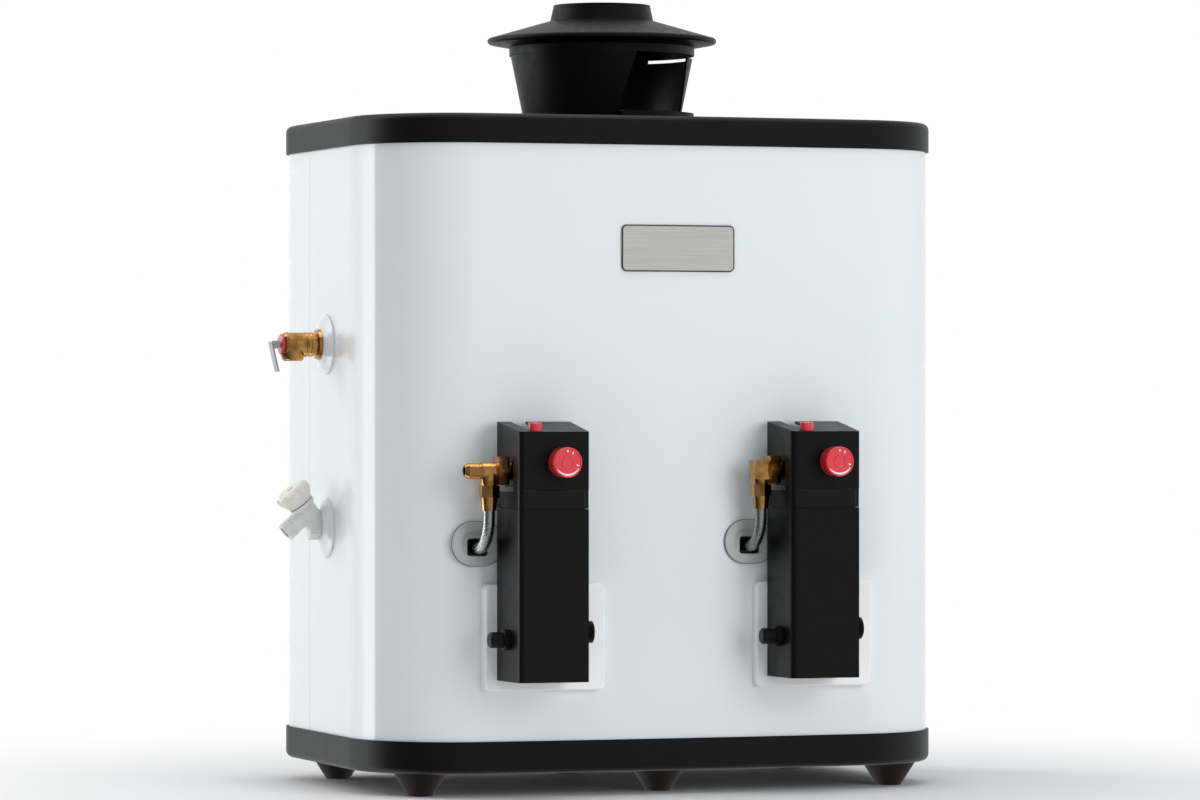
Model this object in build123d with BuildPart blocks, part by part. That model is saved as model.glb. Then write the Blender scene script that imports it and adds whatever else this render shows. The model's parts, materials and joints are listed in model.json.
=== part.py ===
from build123d import *
import math
import os

# Floor-standing gas water heater with two tanks, a draft hood and two front control modules.
# Millimetres. X points right, Y back and Z up. The origin is on the floor, under the middle of the
# whole outline, so the casing's own middle lies behind it.

# Casing
casing_width = 650.0
casing_depth = 422.0
casing_y = 47.0
casing_top = 711.0
front_bow = 14.0
front_corner = 115.0
rear_corner = 82.0
foot_height = 24.5
band_height = 34.0
cap_height = 31.0
pan_sheet = 1.5
pan_round = 7.5
lip_inset = 2.6
lip_height = 4.0
body_inset = 3.0
body_sheet = 1.2
seam_behind_middle = 60.0
seam_gap = 0.8
seam_lap = 6.0
seat_gap = 0.3
air_hole_radius = 45.0

# Feet and their bolts
foot_top_radius = 28.5
foot_tip_radius = 13.0
foot_spread = 264.0
foot_row = 147.0
bolt_radius = 4.0
bolt_clearance = 0.3
bolt_head_radius = 7.0
bolt_head_height = 5.0
foot_counterbore_radius = 8.5
foot_counterbore_depth = 9.0
nut_flats = 13.0
nut_height = 6.5

# Nameplate
plate_width = 125.0
plate_height = 48.0
plate_sheet = 1.6
plate_corner = 4.0
plate_z = 572.0

# Draft hood
hood_behind_middle = 30.0
hood_sheet = 2.0
flue_bore_radius = 51.0
flue_bore_length = 10.0
collar_top_radius = 52.4
collar_foot_radius = 56.2
hood_top = 842.0
collar_foot_z = 825.0
brim_radius = 124.5
brim_z = 803.0
brim_tip = 3.2
skirt_radius = 100.7
skirt_low_z = 787.0
skirt_high_z = 796.0
hood_plate_foot_radius = 84.0
hood_plate_top_radius = 99.4
hood_plate_top_z = 788.0
hood_rear_drop = 4.5
hood_plate_middle = -153.5
hood_plate_top_angle = 133.0
hood_plate_foot_angle = 106.0
hood_tab_span = 17.4
hood_tab_top_z = 795.6
hood_tab_angle = -132.0
throat_radius = 61.0
base_ring_height = 13.0
base_ear_radius = 101.5
base_ear_span = 66.0

# Tanks, flues and chambers
module_x = 150.0
tank_radius = 130.0
tank_sheet = 3.0
tank_low = 255.0
tank_high = 640.0
tank_dome = 18.0
flue_radius = 38.0
flue_sheet = 3.0
flue_above_tank = 12.0
boss_radius = 18.0
boss_reach = 8.0
port_radius = 10.4
jacket_thickness = 16.0
jacket_gap = 0.5
jacket_low = 262.0
jacket_high = 634.0
jacket_cut_radius = 21.0
crossover_high_z = 600.0
crossover_low_z = 290.0
nipple_radius = 13.335
chamber_radius = 125.0
chamber_sheet = 1.5
chamber_floor_z = 58.0
collector_width = 404.0
collector_depth = 158.0
collector_height = 44.0
collector_sheet = 1.5
collector_corner = 40.0
anode_radius = 8.0
anode_length = 266.0
anode_ahead_of_axis = 84.0
anode_hex_flats = 27.0

# Burners
burner_radius = 70.0
burner_z = 153.0
burner_sheet = 1.2
burner_lip_radius = 66.0
burner_dish = 5.0
burner_rim_low = 7.0
burner_rim_high = 11.0
burner_crown_foot = 13.0
burner_crown = 20.0
burner_ports = 24
burner_port_depth = 6.0
burner_port_width = 3.0
burner_port_height = 1.6
mixer_radius = 22.0
venturi_radius = 9.0
venturi_z = 142.0
venturi_mouth_y = -118.0
burner_leg_radius = 4.0
burner_leg_circle = 55.0

# Side connections
relief_z = 472.0
drain_z = 277.0
hot_z = 600.0
cold_z = 273.0
water_ports_behind_middle = 38.0
escutcheon_radius = 32.5
escutcheon_rise = 8.0
escutcheon_clearance = 0.5
wall_hole_radius = 15.5
side_nipple_radius = 10.65
water_stub_start = 12.0
water_stub_reach = 57.0

# Relief valve
relief_flange_radius = 16.5
relief_body_radius = 12.7
relief_body_start = 14.5
relief_body_end = 48.5
relief_outlet_radius = 10.0
relief_outlet_bore = 7.2
relief_outlet_drop = 17.5
relief_outlet_depth = 9.0
relief_outlet_place = 37.2
relief_bore = 8.0
relief_cap_radius = 11.2
relief_cap_end = 51.5
relief_stem_radius = 2.6
relief_eye_radius = 3.2
relief_eye_width = 6.0
relief_ear_radius = 4.0
relief_pivot_reach = 56.0
relief_disc_radius = 7.6
relief_disc_start = 22.0
relief_disc_depth = 3.0
relief_passage_radius = 5.0
relief_pin_radius = 1.5
relief_lever_length = 28.5
relief_lever_width = 12.5
relief_lever_tilt = 13.0
relief_lever_sheet = 1.8
relief_lever_gap = 0.8
running_clearance = 0.06

# Drain valve
drain_hex_flats = 22.0
drain_base_reach = 12.5
drain_base_rise = 6.0
drain_knob_angle = 52.0
drain_spout_angle = 41.0
drain_body_radius = 11.5
drain_chamber_radius = 8.0
drain_inlet_start = -4.0
drain_chamber_start = 6.0
drain_cross = 13.5
drain_spout_radius = 10.5
drain_spout_bore = 7.0
drain_bore_depth = 18.0
drain_passage_radius = 4.0
drain_spout_length = 33.0
drain_thread_length = 12.0
drain_thread_pitch = 2.0
drain_thread_depth = 0.8
drain_bonnet_radius = 14.5
drain_bonnet_start = 22.0
drain_bonnet_end = 25.0
drain_stem_radius = 4.0
drain_plug_radius = 7.4
drain_plug_start = 6.5
drain_plug_depth = 3.0
drain_knob_start = 26.0
drain_knob_height = 19.0
drain_knob_foot_radius = 14.0
drain_knob_rim_radius = 19.6
drain_knob_lobes = 8
drain_knob_flute_radius = 5.0

# Control modules
cover_standoff = 12.0
cover_depth = 66.0
cover_back_width = 80.0
cover_front_width = 75.0
cover_left_of_axis = 13.0
cover_wall = 2.5
cover_round = 6.5
cover_low = 122.7
cover_split_z = 300.7
cover_split_gap = 0.4
cover_lip_height = 4.0
cover_lip_sheet = 1.2
cover_back_top = 390.6
cover_front_top = 380.5
band_recess = 1.0
band_recess_height = 19.8
band_groove_width = 5.0
band_groove_depth = 2.0
notch_low = 318.5
notch_high = 354.5
notch_depth = 47.0
valve_width = 60.0
valve_low = 323.0
valve_high = 364.0
valve_back_gap = 7.0
valve_corner = 3.0
spud_radius = 13.0
spud_z = 343.0
probe_radius = 6.0
probe_length = 66.0
knob_z = 349.0
knob_right_of_middle = 8.0
knob_radius = 15.8
knob_depth = 19.0
knob_gap = 1.0
knob_face_recess = 0.6
knob_rim = 1.2
knob_shaft_radius = 4.0
knob_shaft_depth = 12.0
shaft_window_radius = 7.0
index_drop = 21.0
index_length = 5.0
index_width = 1.4
index_tilt = 12.0
index_offset = 1.0
pilot_left_of_middle = 17.0
pilot_from_front = 12.0
pilot_radius = 7.25
pilot_low = 371.0
pilot_high = 390.0
pilot_slot_width = 16.0
pilot_stem_radius = 3.0
pilot_stem_length = 24.0
pilot_travel = 6.0
igniter_z = 166.0
igniter_radius = 8.25
igniter_reach = 21.0
igniter_travel = 8.0
igniter_inside = 12.0
igniter_collar_radius = 10.8
igniter_collar_depth = 6.0
igniter_barrel_radius = 9.8
igniter_barrel_length = 30.0
igniter_nut_flats = 24.0
igniter_nut_height = 4.0
latch_z = 173.0
latch_neck_radius = 7.5
latch_flare_radius = 11.5
latch_reach = 13.0
latch_neck_length = 2.0
latch_arm_length = 20.0
latch_arm_width = 8.0
latch_arm_sheet = 2.0
latch_arm_inside = 3.4
latch_tooth_length = 4.0
latch_tooth_drop = 7.0
strike_gap = 0.6
strike_lug = 3.0
strike_bar = 5.0

# Burner doors
door_width = 131.0
door_low = 111.0
door_high = 222.0
door_corner = 6.0
door_edge_round = 2.0
door_sheet = 1.2
door_slot_width = 46.0
window_margin = 13.0
door_slot_low = 131.0
door_slot_high = 201.0

# Gas fittings and hose
fitting_z = 340.0
fitting_from_panel = 37.0
branch_left_of_axis = 70.0
fitting_bore = 4.5
branch_bore = 4.0
fitting_hex_flats = 29.0
fitting_hex_depth = 12.0
fitting_neck_radius = 10.0
tee_body_radius = 9.2
elbow_block = 20.0
flare_radius = 8.0
flare_length = 20.0
flare_tip = 4.0
flare_tip_radius = 5.8
inlet_reach = 97.0
flare_nut_flats = 19.0
flare_nut_low = 312.5
flare_nut_high = 325.0
flare_nut_clearance = 0.1
sleeve_low = 299.0
sleeve_top_radius = 8.9
sleeve_low_radius = 7.6
hose_radius = 6.25
hose_z = 259.5
hose_bend = 34.0
hose_inner_bend = 27.0
hose_straight = 5.0
hose_grip = 6.0
hose_plate_width = 56.0
hose_plate_height = 46.0
hose_plate_thickness = 4.0
hose_plate_rim = 9.5
hose_plate_recess = 2.4
hose_plate_z = 264.0
hose_opening_width = 22.0
hose_opening_height = 18.0
hose_opening_drop = 3.5

# Gas tubes from the control valve to the burner
main_tube_radius = 4.5
pilot_tube_radius = 2.0
sensor_tube_radius = 1.5
tube_bend = 14.0
pilot_tube_right = 13.0
sensor_tube_left = 10.0
pilot_run_z = 178.0
pilot_end_from_burner = 5.0

# Screws that hold the cap and the base tray to the rear panel
screw_radius = 2.0
screw_head_radius = 4.5
screw_head_height = 2.4
screw_length = 9.0
screw_spread = 210.0
screw_cap_drop = 17.0
screw_base_rise = 20.0

# Heights and faces worked out from the sizes above
base_low = foot_height
base_high = foot_height + band_height
cap_low = casing_top - cap_height
front_y = casing_y - casing_depth / 2
rear_y = casing_y + casing_depth / 2
side_x = casing_width / 2 - body_inset
seam_y = casing_y + seam_behind_middle
inner_round = pan_round - pan_sheet
edge_rise = inner_round - math.sqrt(inner_round**2 - (pan_round - body_inset) ** 2)
body_low = base_low + pan_sheet + edge_rise + seat_gap
body_high = casing_top - pan_sheet - edge_rise - seat_gap
tray_floor_z = base_low + pan_sheet
bow_radius = casing_width**2 / (8 * front_bow) + front_bow / 2
hood_y = casing_y + hood_behind_middle
water_y = casing_y + water_ports_behind_middle
modules = {"left": -module_x, "right": module_x}


def panel_y(x: float) -> float:
    """Front face of the bowed panel at x, between the corners."""
    return front_y + bow_radius - math.sqrt((bow_radius - body_inset) ** 2 - x**2)


module_face_y = panel_y(module_x)
cover_back_y = module_face_y - cover_standoff
cover_front_y = cover_back_y - cover_depth
cover_middle_y = cover_back_y - cover_depth / 2
fitting_y = module_face_y - fitting_from_panel


def front_plane(y: float) -> Plane:
    """Upright plane that faces the front, so extrusions run towards -Y."""
    return Plane.XZ.offset(-y)


def side_plane(x: float) -> Plane:
    """Upright plane that faces right, so extrusions run towards +X."""
    return Plane.YZ.offset(x)


def casing_outline(inset: float) -> Sketch:
    """Plan of the casing, bowed at the front and drawn in by inset."""
    half_width = casing_width / 2
    shoulder_y = front_y + front_bow
    with BuildSketch() as plan:
        with BuildLine():
            ThreePointArc((-half_width, shoulder_y), (0, front_y), (half_width, shoulder_y))
            Line((half_width, shoulder_y), (half_width, rear_y))
            Line((half_width, rear_y), (-half_width, rear_y))
            Line((-half_width, rear_y), (-half_width, shoulder_y))
        make_face()
        fillet(plan.vertices().group_by(Axis.Y)[-1], rear_corner)
        fillet(plan.vertices().group_by(Axis.Y)[0], front_corner)
        if inset:
            offset(amount=-inset)
    return plan.sketch


def casing_block(inset: float, low: float, high: float, low_round=0.0, high_round=0.0) -> Part:
    """Solid casing plan between two heights, with its bottom or top edge rounded."""
    with BuildPart() as block:
        with BuildSketch(Plane.XY.offset(low)):
            add(casing_outline(inset))
        extrude(amount=high - low)
        if low_round:
            fillet(block.edges().group_by(Axis.Z)[0], low_round)
        if high_round:
            fillet(block.edges().group_by(Axis.Z)[-1], high_round)
    return block.part


def casing_ring(outer_inset: float, inner_inset: float, low: float, high: float) -> Part:
    """Upright sheet that follows the casing plan between two insets."""
    with BuildPart() as ring:
        with BuildSketch(Plane.XY.offset(low)):
            add(casing_outline(outer_inset))
            add(casing_outline(inner_inset), mode=Mode.SUBTRACT)
        extrude(amount=high - low)
    return ring.part


def turned(origin, direction, outline) -> Part:
    """Solid turned about an axis, from points of distance along it and radius."""
    across = (0, 1, 0) if abs(direction[1]) < 0.5 else (1, 0, 0)
    with BuildPart() as piece:
        with BuildSketch(Plane(origin=origin, x_dir=direction, z_dir=across)):
            with BuildLine():
                Polyline(*outline, close=True)
            make_face()
        revolve(axis=Axis(origin, direction))
    return piece.part


def sector(radius: float, middle: float, span: float) -> Sketch:
    """Slice of a disc about the origin, by its middle angle and span in degrees."""
    with BuildSketch() as slice_face:
        with BuildLine():
            rim = CenterArc((0, 0), radius, middle - span / 2, span)
            Line(rim @ 1, (0, 0))
            Line((0, 0), rim @ 0)
        make_face()
    return slice_face.sketch


def polar_point(radius: float, angle: float, z: float) -> Vector:
    """Point about the hood's axis."""
    turn = math.radians(angle)
    return Vector(radius * math.cos(turn), hood_y + radius * math.sin(turn), z)


def hexagon(flats: float, turn: float = 0) -> RegularPolygon:
    """Hexagon given across its flats, turned in degrees."""
    return RegularPolygon(radius=flats / 2, side_count=6, major_radius=False, rotation=turn)


def save(piece, name: str) -> None:
    """Label a finished piece and write it."""
    shape = piece.part
    shape.label = name
    export_step(shape, f"parts/{name}.step")


os.makedirs("parts", exist_ok=True)

cap_screw_places = []
base_screw_places = []
for screw_x in (-screw_spread, 0.0, screw_spread):
    cap_screw_places.append((screw_x, casing_top - screw_cap_drop))
    base_screw_places.append((screw_x, base_low + screw_base_rise))

# Casing: an inverted black cap, a white wrapper with a rear panel, and a black base tray.
cap_shell = casing_block(0, cap_low, casing_top, high_round=pan_round)
cap_space = casing_block(pan_sheet, cap_low - 1, casing_top - pan_sheet, high_round=inner_round)
cap_lip = casing_ring(pan_sheet / 2, lip_inset, cap_low, cap_low + lip_height)
with BuildPart() as top_cap:
    add(cap_shell)
    add(cap_space, mode=Mode.SUBTRACT)
    add(cap_lip)
    with BuildSketch(Plane.XY.offset(casing_top + 1)):
        with Locations((0, hood_y)):
            Circle(throat_radius)
    extrude(amount=-(pan_sheet + 2), mode=Mode.SUBTRACT)
    with BuildSketch(front_plane(rear_y + 1)):
        with Locations(*cap_screw_places):
            Circle(screw_radius + bolt_clearance)
    extrude(amount=pan_sheet + 2, mode=Mode.SUBTRACT)
save(top_cap, "top_cap")

foot_places = []
for foot_x in (-foot_spread, 0.0, foot_spread):
    for foot_y in (casing_y - foot_row, casing_y + foot_row):
        foot_places.append((foot_x, foot_y))

tray_shell = casing_block(0, base_low, base_high, low_round=pan_round)
tray_space = casing_block(pan_sheet, tray_floor_z, base_high + 1, low_round=inner_round)
tray_lip = casing_ring(pan_sheet / 2, lip_inset, base_high - lip_height, base_high)
with BuildPart() as base_tray:
    add(tray_shell)
    add(tray_space, mode=Mode.SUBTRACT)
    add(tray_lip)
    with BuildSketch(Plane.XY.offset(base_low - 1)):
        with Locations((-module_x, casing_y), (module_x, casing_y)):
            Circle(air_hole_radius)
        with Locations(*foot_places):
            Circle(bolt_radius + bolt_clearance)
    extrude(amount=pan_sheet + 2, mode=Mode.SUBTRACT)
    with BuildSketch(front_plane(rear_y + 1)):
        with Locations(*base_screw_places):
            Circle(screw_radius + bolt_clearance)
    extrude(amount=pan_sheet + 2, mode=Mode.SUBTRACT)
save(base_tray, "base_tray")

hose_opening_places = []
for axis_x in modules.values():
    hose_opening_places.append((axis_x - branch_left_of_axis, hose_plate_z - hose_opening_drop))

body_ring = casing_ring(body_inset, body_inset + body_sheet, body_low, body_high)
with BuildPart() as front_wrapper:
    add(body_ring)
    split(bisect_by=front_plane(seam_y), keep=Keep.TOP)
    with BuildSketch(front_plane(front_y + 30)):
        with Locations(*hose_opening_places):
            RectangleRounded(hose_opening_width + 4, hose_opening_height + 4, 5)
        for axis_x in modules.values():
            with Locations((axis_x - cover_left_of_axis, spud_z)):
                Circle(spud_radius + 2)
            with Locations((axis_x, (door_slot_low + door_slot_high) / 2)):
                Rectangle(door_width - 2 * window_margin, door_slot_high - door_slot_low)
    extrude(amount=60, mode=Mode.SUBTRACT)
    with BuildSketch(side_plane(-side_x - 5)):
        with Locations((casing_y, relief_z), (casing_y, drain_z)):
            Circle(wall_hole_radius)
    extrude(amount=10, mode=Mode.SUBTRACT)
    with BuildSketch(side_plane(side_x + 5)):
        with Locations((water_y, hot_z), (water_y, cold_z)):
            Circle(wall_hole_radius)
    extrude(amount=-10, mode=Mode.SUBTRACT)
save(front_wrapper, "front_wrapper")

# The rear panel's edge is joggled and laps behind the wrapper's edge.
lap_inset = body_inset + body_sheet + 0.2
rear_sheet = casing_ring(body_inset, body_inset + body_sheet, body_low, body_high)
joggle_ring = casing_ring(body_inset, lap_inset + body_sheet, body_low, body_high)
lap_ring = casing_ring(lap_inset, lap_inset + body_sheet, body_low, body_high)
with BuildPart() as joggle:
    add(joggle_ring)
    split(bisect_by=front_plane(seam_y + seam_gap), keep=Keep.BOTTOM)
    split(bisect_by=front_plane(seam_y + seam_gap + 4), keep=Keep.TOP)
with BuildPart() as lap:
    add(lap_ring)
    split(bisect_by=front_plane(seam_y - seam_lap), keep=Keep.BOTTOM)
    split(bisect_by=front_plane(seam_y + seam_gap + 4), keep=Keep.TOP)
with BuildPart() as rear_panel:
    add(rear_sheet)
    split(bisect_by=front_plane(seam_y + seam_gap), keep=Keep.BOTTOM)
    add(joggle.part)
    add(lap.part)
    with BuildSketch(front_plane(rear_y + 1)):
        with Locations(*cap_screw_places, *base_screw_places):
            Circle(screw_radius + bolt_clearance)
    extrude(amount=body_inset + body_sheet + 2, mode=Mode.SUBTRACT)
save(rear_panel, "rear_panel")

with BuildPart() as casing_screws:
    with BuildSketch(front_plane(rear_y)):
        with Locations(*cap_screw_places, *base_screw_places):
            Circle(screw_head_radius)
    extrude(amount=-screw_head_height)
    with BuildSketch(front_plane(rear_y)):
        with Locations(*cap_screw_places, *base_screw_places):
            Circle(screw_radius)
    extrude(amount=screw_length)
save(casing_screws, "casing_screws")

# Feet: six cones, each bolted through the tray from inside its counterbore.
with BuildPart() as feet:
    for place in foot_places:
        with BuildSketch():
            with Locations(place):
                Circle(foot_tip_radius)
        with BuildSketch(Plane.XY.offset(foot_height)):
            with Locations(place):
                Circle(foot_top_radius)
        loft()
    with BuildSketch():
        with Locations(*foot_places):
            Circle(foot_counterbore_radius)
    extrude(amount=foot_counterbore_depth, mode=Mode.SUBTRACT)
    with BuildSketch():
        with Locations(*foot_places):
            Circle(bolt_radius + bolt_clearance)
    extrude(amount=foot_height, mode=Mode.SUBTRACT)
save(feet, "feet")

bolt_top = tray_floor_z + nut_height + 3
with BuildPart() as foot_fasteners:
    with BuildSketch(Plane.XY.offset(foot_counterbore_depth - bolt_head_height)):
        with Locations(*foot_places):
            Circle(bolt_head_radius)
    extrude(amount=bolt_head_height)
    with BuildSketch(Plane.XY.offset(foot_counterbore_depth)):
        with Locations(*foot_places):
            Circle(bolt_radius)
    extrude(amount=bolt_top - foot_counterbore_depth)
    with BuildSketch(Plane.XY.offset(tray_floor_z)):
        for place in foot_places:
            with Locations(place):
                hexagon(nut_flats)
    extrude(amount=nut_height)
save(foot_fasteners, "foot_fasteners")

# Nameplate: a bare plate with clipped corners that follows the panel.
panel_skin = casing_block(body_inset - 0.1, body_low, body_high)
with BuildPart() as nameplate:
    with BuildSketch(front_plane(front_y + 20)):
        with Locations((0, plate_z)):
            plate_face = Rectangle(plate_width, plate_height)
        chamfer(plate_face.vertices(), plate_corner)
    extrude(amount=20 + plate_sheet - body_inset)
    add(panel_skin, mode=Mode.SUBTRACT)
save(nameplate, "nameplate")

# Draft hood: a base ring with two ears, two conical plates with tabs, and a brim with a flue collar.
opening_middle = hood_plate_middle + 90
ring_edge = hood_plate_foot_radius - hood_sheet - 2 * seat_gap
hood_level = Plane((0, hood_y, casing_top))
with BuildPart() as hood_base_ring:
    with BuildSketch(hood_level):
        Circle(ring_edge)
        add(sector(base_ear_radius, opening_middle, base_ear_span))
        add(sector(base_ear_radius, opening_middle + 180, base_ear_span))
        Circle(throat_radius, mode=Mode.SUBTRACT)
    extrude(amount=base_ring_height)
save(hood_base_ring, "hood_base_ring")

plate_foot_z = casing_top + seat_gap
plate_wall = turned(
    (0, hood_y, 0),
    (0, 0, 1),
    [
        (plate_foot_z, hood_plate_foot_radius - hood_sheet),
        (plate_foot_z, hood_plate_foot_radius),
        (hood_plate_top_z, hood_plate_top_radius),
        (hood_plate_top_z, hood_plate_top_radius - hood_sheet),
    ],
)


def hood_edge(turn: float, side: int) -> Plane:
    """Slanting edge of a hood plate, facing the plate's middle."""
    middle = hood_plate_middle + turn
    top = polar_point(hood_plate_top_radius, middle + side * hood_plate_top_angle / 2, hood_plate_top_z)
    foot = polar_point(hood_plate_foot_radius, middle + side * hood_plate_foot_angle / 2, plate_foot_z)
    outward = polar_point(1, middle + side * hood_plate_foot_angle / 2, 0) - Vector(0, hood_y, 0)
    return Plane(origin=foot, z_dir=(top - foot).cross(outward) * -side)


for turn, name in ((0.0, "hood_front_plate"), (180.0, "hood_rear_plate")):
    plate_top = hood_plate_top_z - (hood_rear_drop if name == "hood_rear_plate" else 0.0)
    with BuildPart() as hood_plate:
        add(plate_wall)
        split(bisect_by=hood_edge(turn, -1), keep=Keep.TOP)
        split(bisect_by=hood_edge(turn, 1), keep=Keep.TOP)
        split(bisect_by=Plane((0, hood_y, plate_top)), keep=Keep.BOTTOM)
        with BuildSketch(Plane((0, hood_y, plate_top - hood_sheet))):
            add(sector(hood_plate_top_radius, hood_tab_angle + turn, hood_tab_span))
            Circle(hood_plate_top_radius - hood_sheet, mode=Mode.SUBTRACT)
        extrude(amount=hood_tab_top_z - plate_top + hood_sheet)
    save(hood_plate, name)

with BuildPart() as hood_brim:
    with BuildSketch(Plane((0, hood_y, 0), x_dir=(1, 0, 0), z_dir=(0, -1, 0))):
        with BuildLine():
            Polyline(
                (brim_radius - brim_tip, brim_z + brim_tip),
                (collar_foot_radius, collar_foot_z),
                (collar_top_radius, hood_top),
                (flue_bore_radius, hood_top),
                (flue_bore_radius, hood_top - flue_bore_length),
                (collar_foot_radius - hood_sheet, collar_foot_z - hood_sheet),
                (brim_radius - 2 * brim_tip, brim_z + brim_tip - hood_sheet),
                (brim_radius - 2 * brim_tip, brim_z - brim_tip + hood_sheet),
                (skirt_radius - 1, skirt_high_z + hood_sheet),
                (skirt_radius - 1, skirt_low_z),
                (skirt_radius, skirt_low_z),
                (skirt_radius, skirt_high_z),
                (brim_radius - brim_tip, brim_z - brim_tip),
            )
            ThreePointArc(
                (brim_radius - brim_tip, brim_z - brim_tip),
                (brim_radius, brim_z),
                (brim_radius - brim_tip, brim_z + brim_tip),
            )
        make_face()
    revolve(axis=Axis((0, hood_y, 0), (0, 0, 1)))
save(hood_brim, "hood_brim")

# Tanks: enamelled shells with a central flue tube and threaded bosses.
spud_left_of_axis = cover_left_of_axis
boss_face = tank_radius + boss_reach


def tank_ports(name: str) -> list:
    """Ports of a tank as outward direction, sideways offset and height."""
    inward = 1 if name == "left" else -1
    ports = [
        ((inward, 0, 0), 0.0, crossover_high_z),
        ((inward, 0, 0), 0.0, crossover_low_z),
        ((0, -1, 0), -spud_left_of_axis, spud_z),
    ]
    if name == "left":
        ports.append(((-1, 0, 0), 0.0, relief_z))
        ports.append(((-1, 0, 0), 0.0, drain_z))
    else:
        ports.append(((1, 0, 0), water_ports_behind_middle, hot_z))
        ports.append(((1, 0, 0), water_ports_behind_middle, cold_z))
    return ports


def port_plane(axis_x: float, port, reach: float) -> Plane:
    """Plane across a port at a distance from the tank's axis, facing outwards."""
    direction, offset, z = port
    if direction[1]:
        return Plane((axis_x + offset, casing_y + direction[1] * reach, z), z_dir=direction)
    return Plane((axis_x + direction[0] * reach, casing_y + offset, z), z_dir=direction)


for name, axis_x in modules.items():
    tank_axis = Axis((axis_x, casing_y, 0), (0, 0, 1))
    section = Plane((axis_x, casing_y, 0), x_dir=(1, 0, 0), z_dir=(0, -1, 0))
    inner_radius = tank_radius - tank_sheet
    with BuildPart() as tank:
        with BuildSketch(section):
            with BuildLine():
                Polyline(
                    (flue_radius - flue_sheet, tank_low),
                    (tank_radius, tank_low),
                    (tank_radius, tank_high - tank_dome),
                    (tank_radius - tank_dome, tank_high),
                    (flue_radius, tank_high),
                    (flue_radius, tank_high + flue_above_tank),
                    (flue_radius - flue_sheet, tank_high + flue_above_tank),
                    close=True,
                )
            make_face()
            with BuildLine():
                Polyline(
                    (flue_radius, tank_low + tank_sheet),
                    (inner_radius, tank_low + tank_sheet),
                    (inner_radius, tank_high - tank_dome - tank_sheet / 2),
                    (inner_radius - tank_dome, tank_high - tank_sheet),
                    (flue_radius, tank_high - tank_sheet),
                    close=True,
                )
            make_face(mode=Mode.SUBTRACT)
        revolve(axis=tank_axis)
        for port in tank_ports(name):
            with BuildSketch(port_plane(axis_x, port, boss_face)):
                Circle(boss_radius)
            boss_root = tank_radius - math.sqrt(tank_radius**2 - (abs(port[1]) + boss_radius) ** 2)
            extrude(amount=-(boss_reach + boss_root + tank_sheet / 2))
        with BuildSketch(Plane((axis_x, casing_y - anode_ahead_of_axis, tank_high))):
            Circle(anode_radius + seat_gap)
        extrude(amount=-2 * tank_sheet, mode=Mode.SUBTRACT)
        for port in tank_ports(name):
            with BuildSketch(port_plane(axis_x, port, boss_face)):
                Circle(port_radius)
            extrude(amount=-(boss_face - tank_radius / 2), mode=Mode.SUBTRACT)
    save(tank, f"tank_{name}")

with BuildPart() as insulation_jackets:
    for axis_x in modules.values():
        with BuildSketch(Plane((axis_x, casing_y, jacket_low))):
            Circle(tank_radius + jacket_gap + jacket_thickness)
            Circle(tank_radius + jacket_gap, mode=Mode.SUBTRACT)
        extrude(amount=jacket_high - jacket_low)
    for name, axis_x in modules.items():
        for port in tank_ports(name):
            with BuildSketch(port_plane(axis_x, port, tank_radius / 2)):
                Circle(jacket_cut_radius)
            extrude(amount=tank_radius / 2 + 2 * jacket_thickness, mode=Mode.SUBTRACT)
save(insulation_jackets, "insulation_jackets")

with BuildPart() as tank_crossovers:
    for crossover_z in (crossover_high_z, crossover_low_z):
        with BuildSketch(side_plane(boss_face - module_x)):
            with Locations((casing_y, crossover_z)):
                Circle(nipple_radius)
                Circle(port_radius, mode=Mode.SUBTRACT)
        extrude(amount=2 * (module_x - boss_face))
save(tank_crossovers, "tank_crossovers")

with BuildPart() as anode_rods:
    for axis_x in modules.values():
        rod_place = (axis_x, casing_y - anode_ahead_of_axis)
        with BuildSketch(Plane((*rod_place, tank_high))):
            hexagon(anode_hex_flats)
        extrude(amount=anode_radius)
        with BuildSketch(Plane((*rod_place, tank_high))):
            Circle(anode_radius)
        extrude(amount=-anode_length)
save(anode_rods, "anode_rods")

# Flue baffles: zigzag strips that hang in the flue tubes from a cross bar.
baffle_width = 44.0
baffle_sheet = 1.5
baffle_step = 45.0
baffle_sway = 14.0
baffle_folds = 7
flue_top_z = tank_high + flue_above_tank
with BuildPart() as flue_baffles:
    for axis_x in modules.values():
        zigzag = []
        for fold in range(baffle_folds):
            sway = baffle_sway if fold % 2 else -baffle_sway
            zigzag.append((sway, flue_top_z - baffle_step * fold))
        back = [(sway + baffle_sheet, z) for sway, z in reversed(zigzag)]
        with BuildSketch(Plane((axis_x, casing_y, 0), x_dir=(1, 0, 0), z_dir=(0, -1, 0))):
            with BuildLine():
                Polyline(*zigzag, *back, close=True)
            make_face()
        extrude(amount=baffle_width / 2, both=True)
        with BuildSketch(Plane((axis_x - baffle_sway, casing_y, flue_top_z))):
            Rectangle(4 * baffle_sheet, 2 * flue_radius)
        extrude(amount=2 * baffle_sheet)
save(flue_baffles, "flue_baffles")

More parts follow.
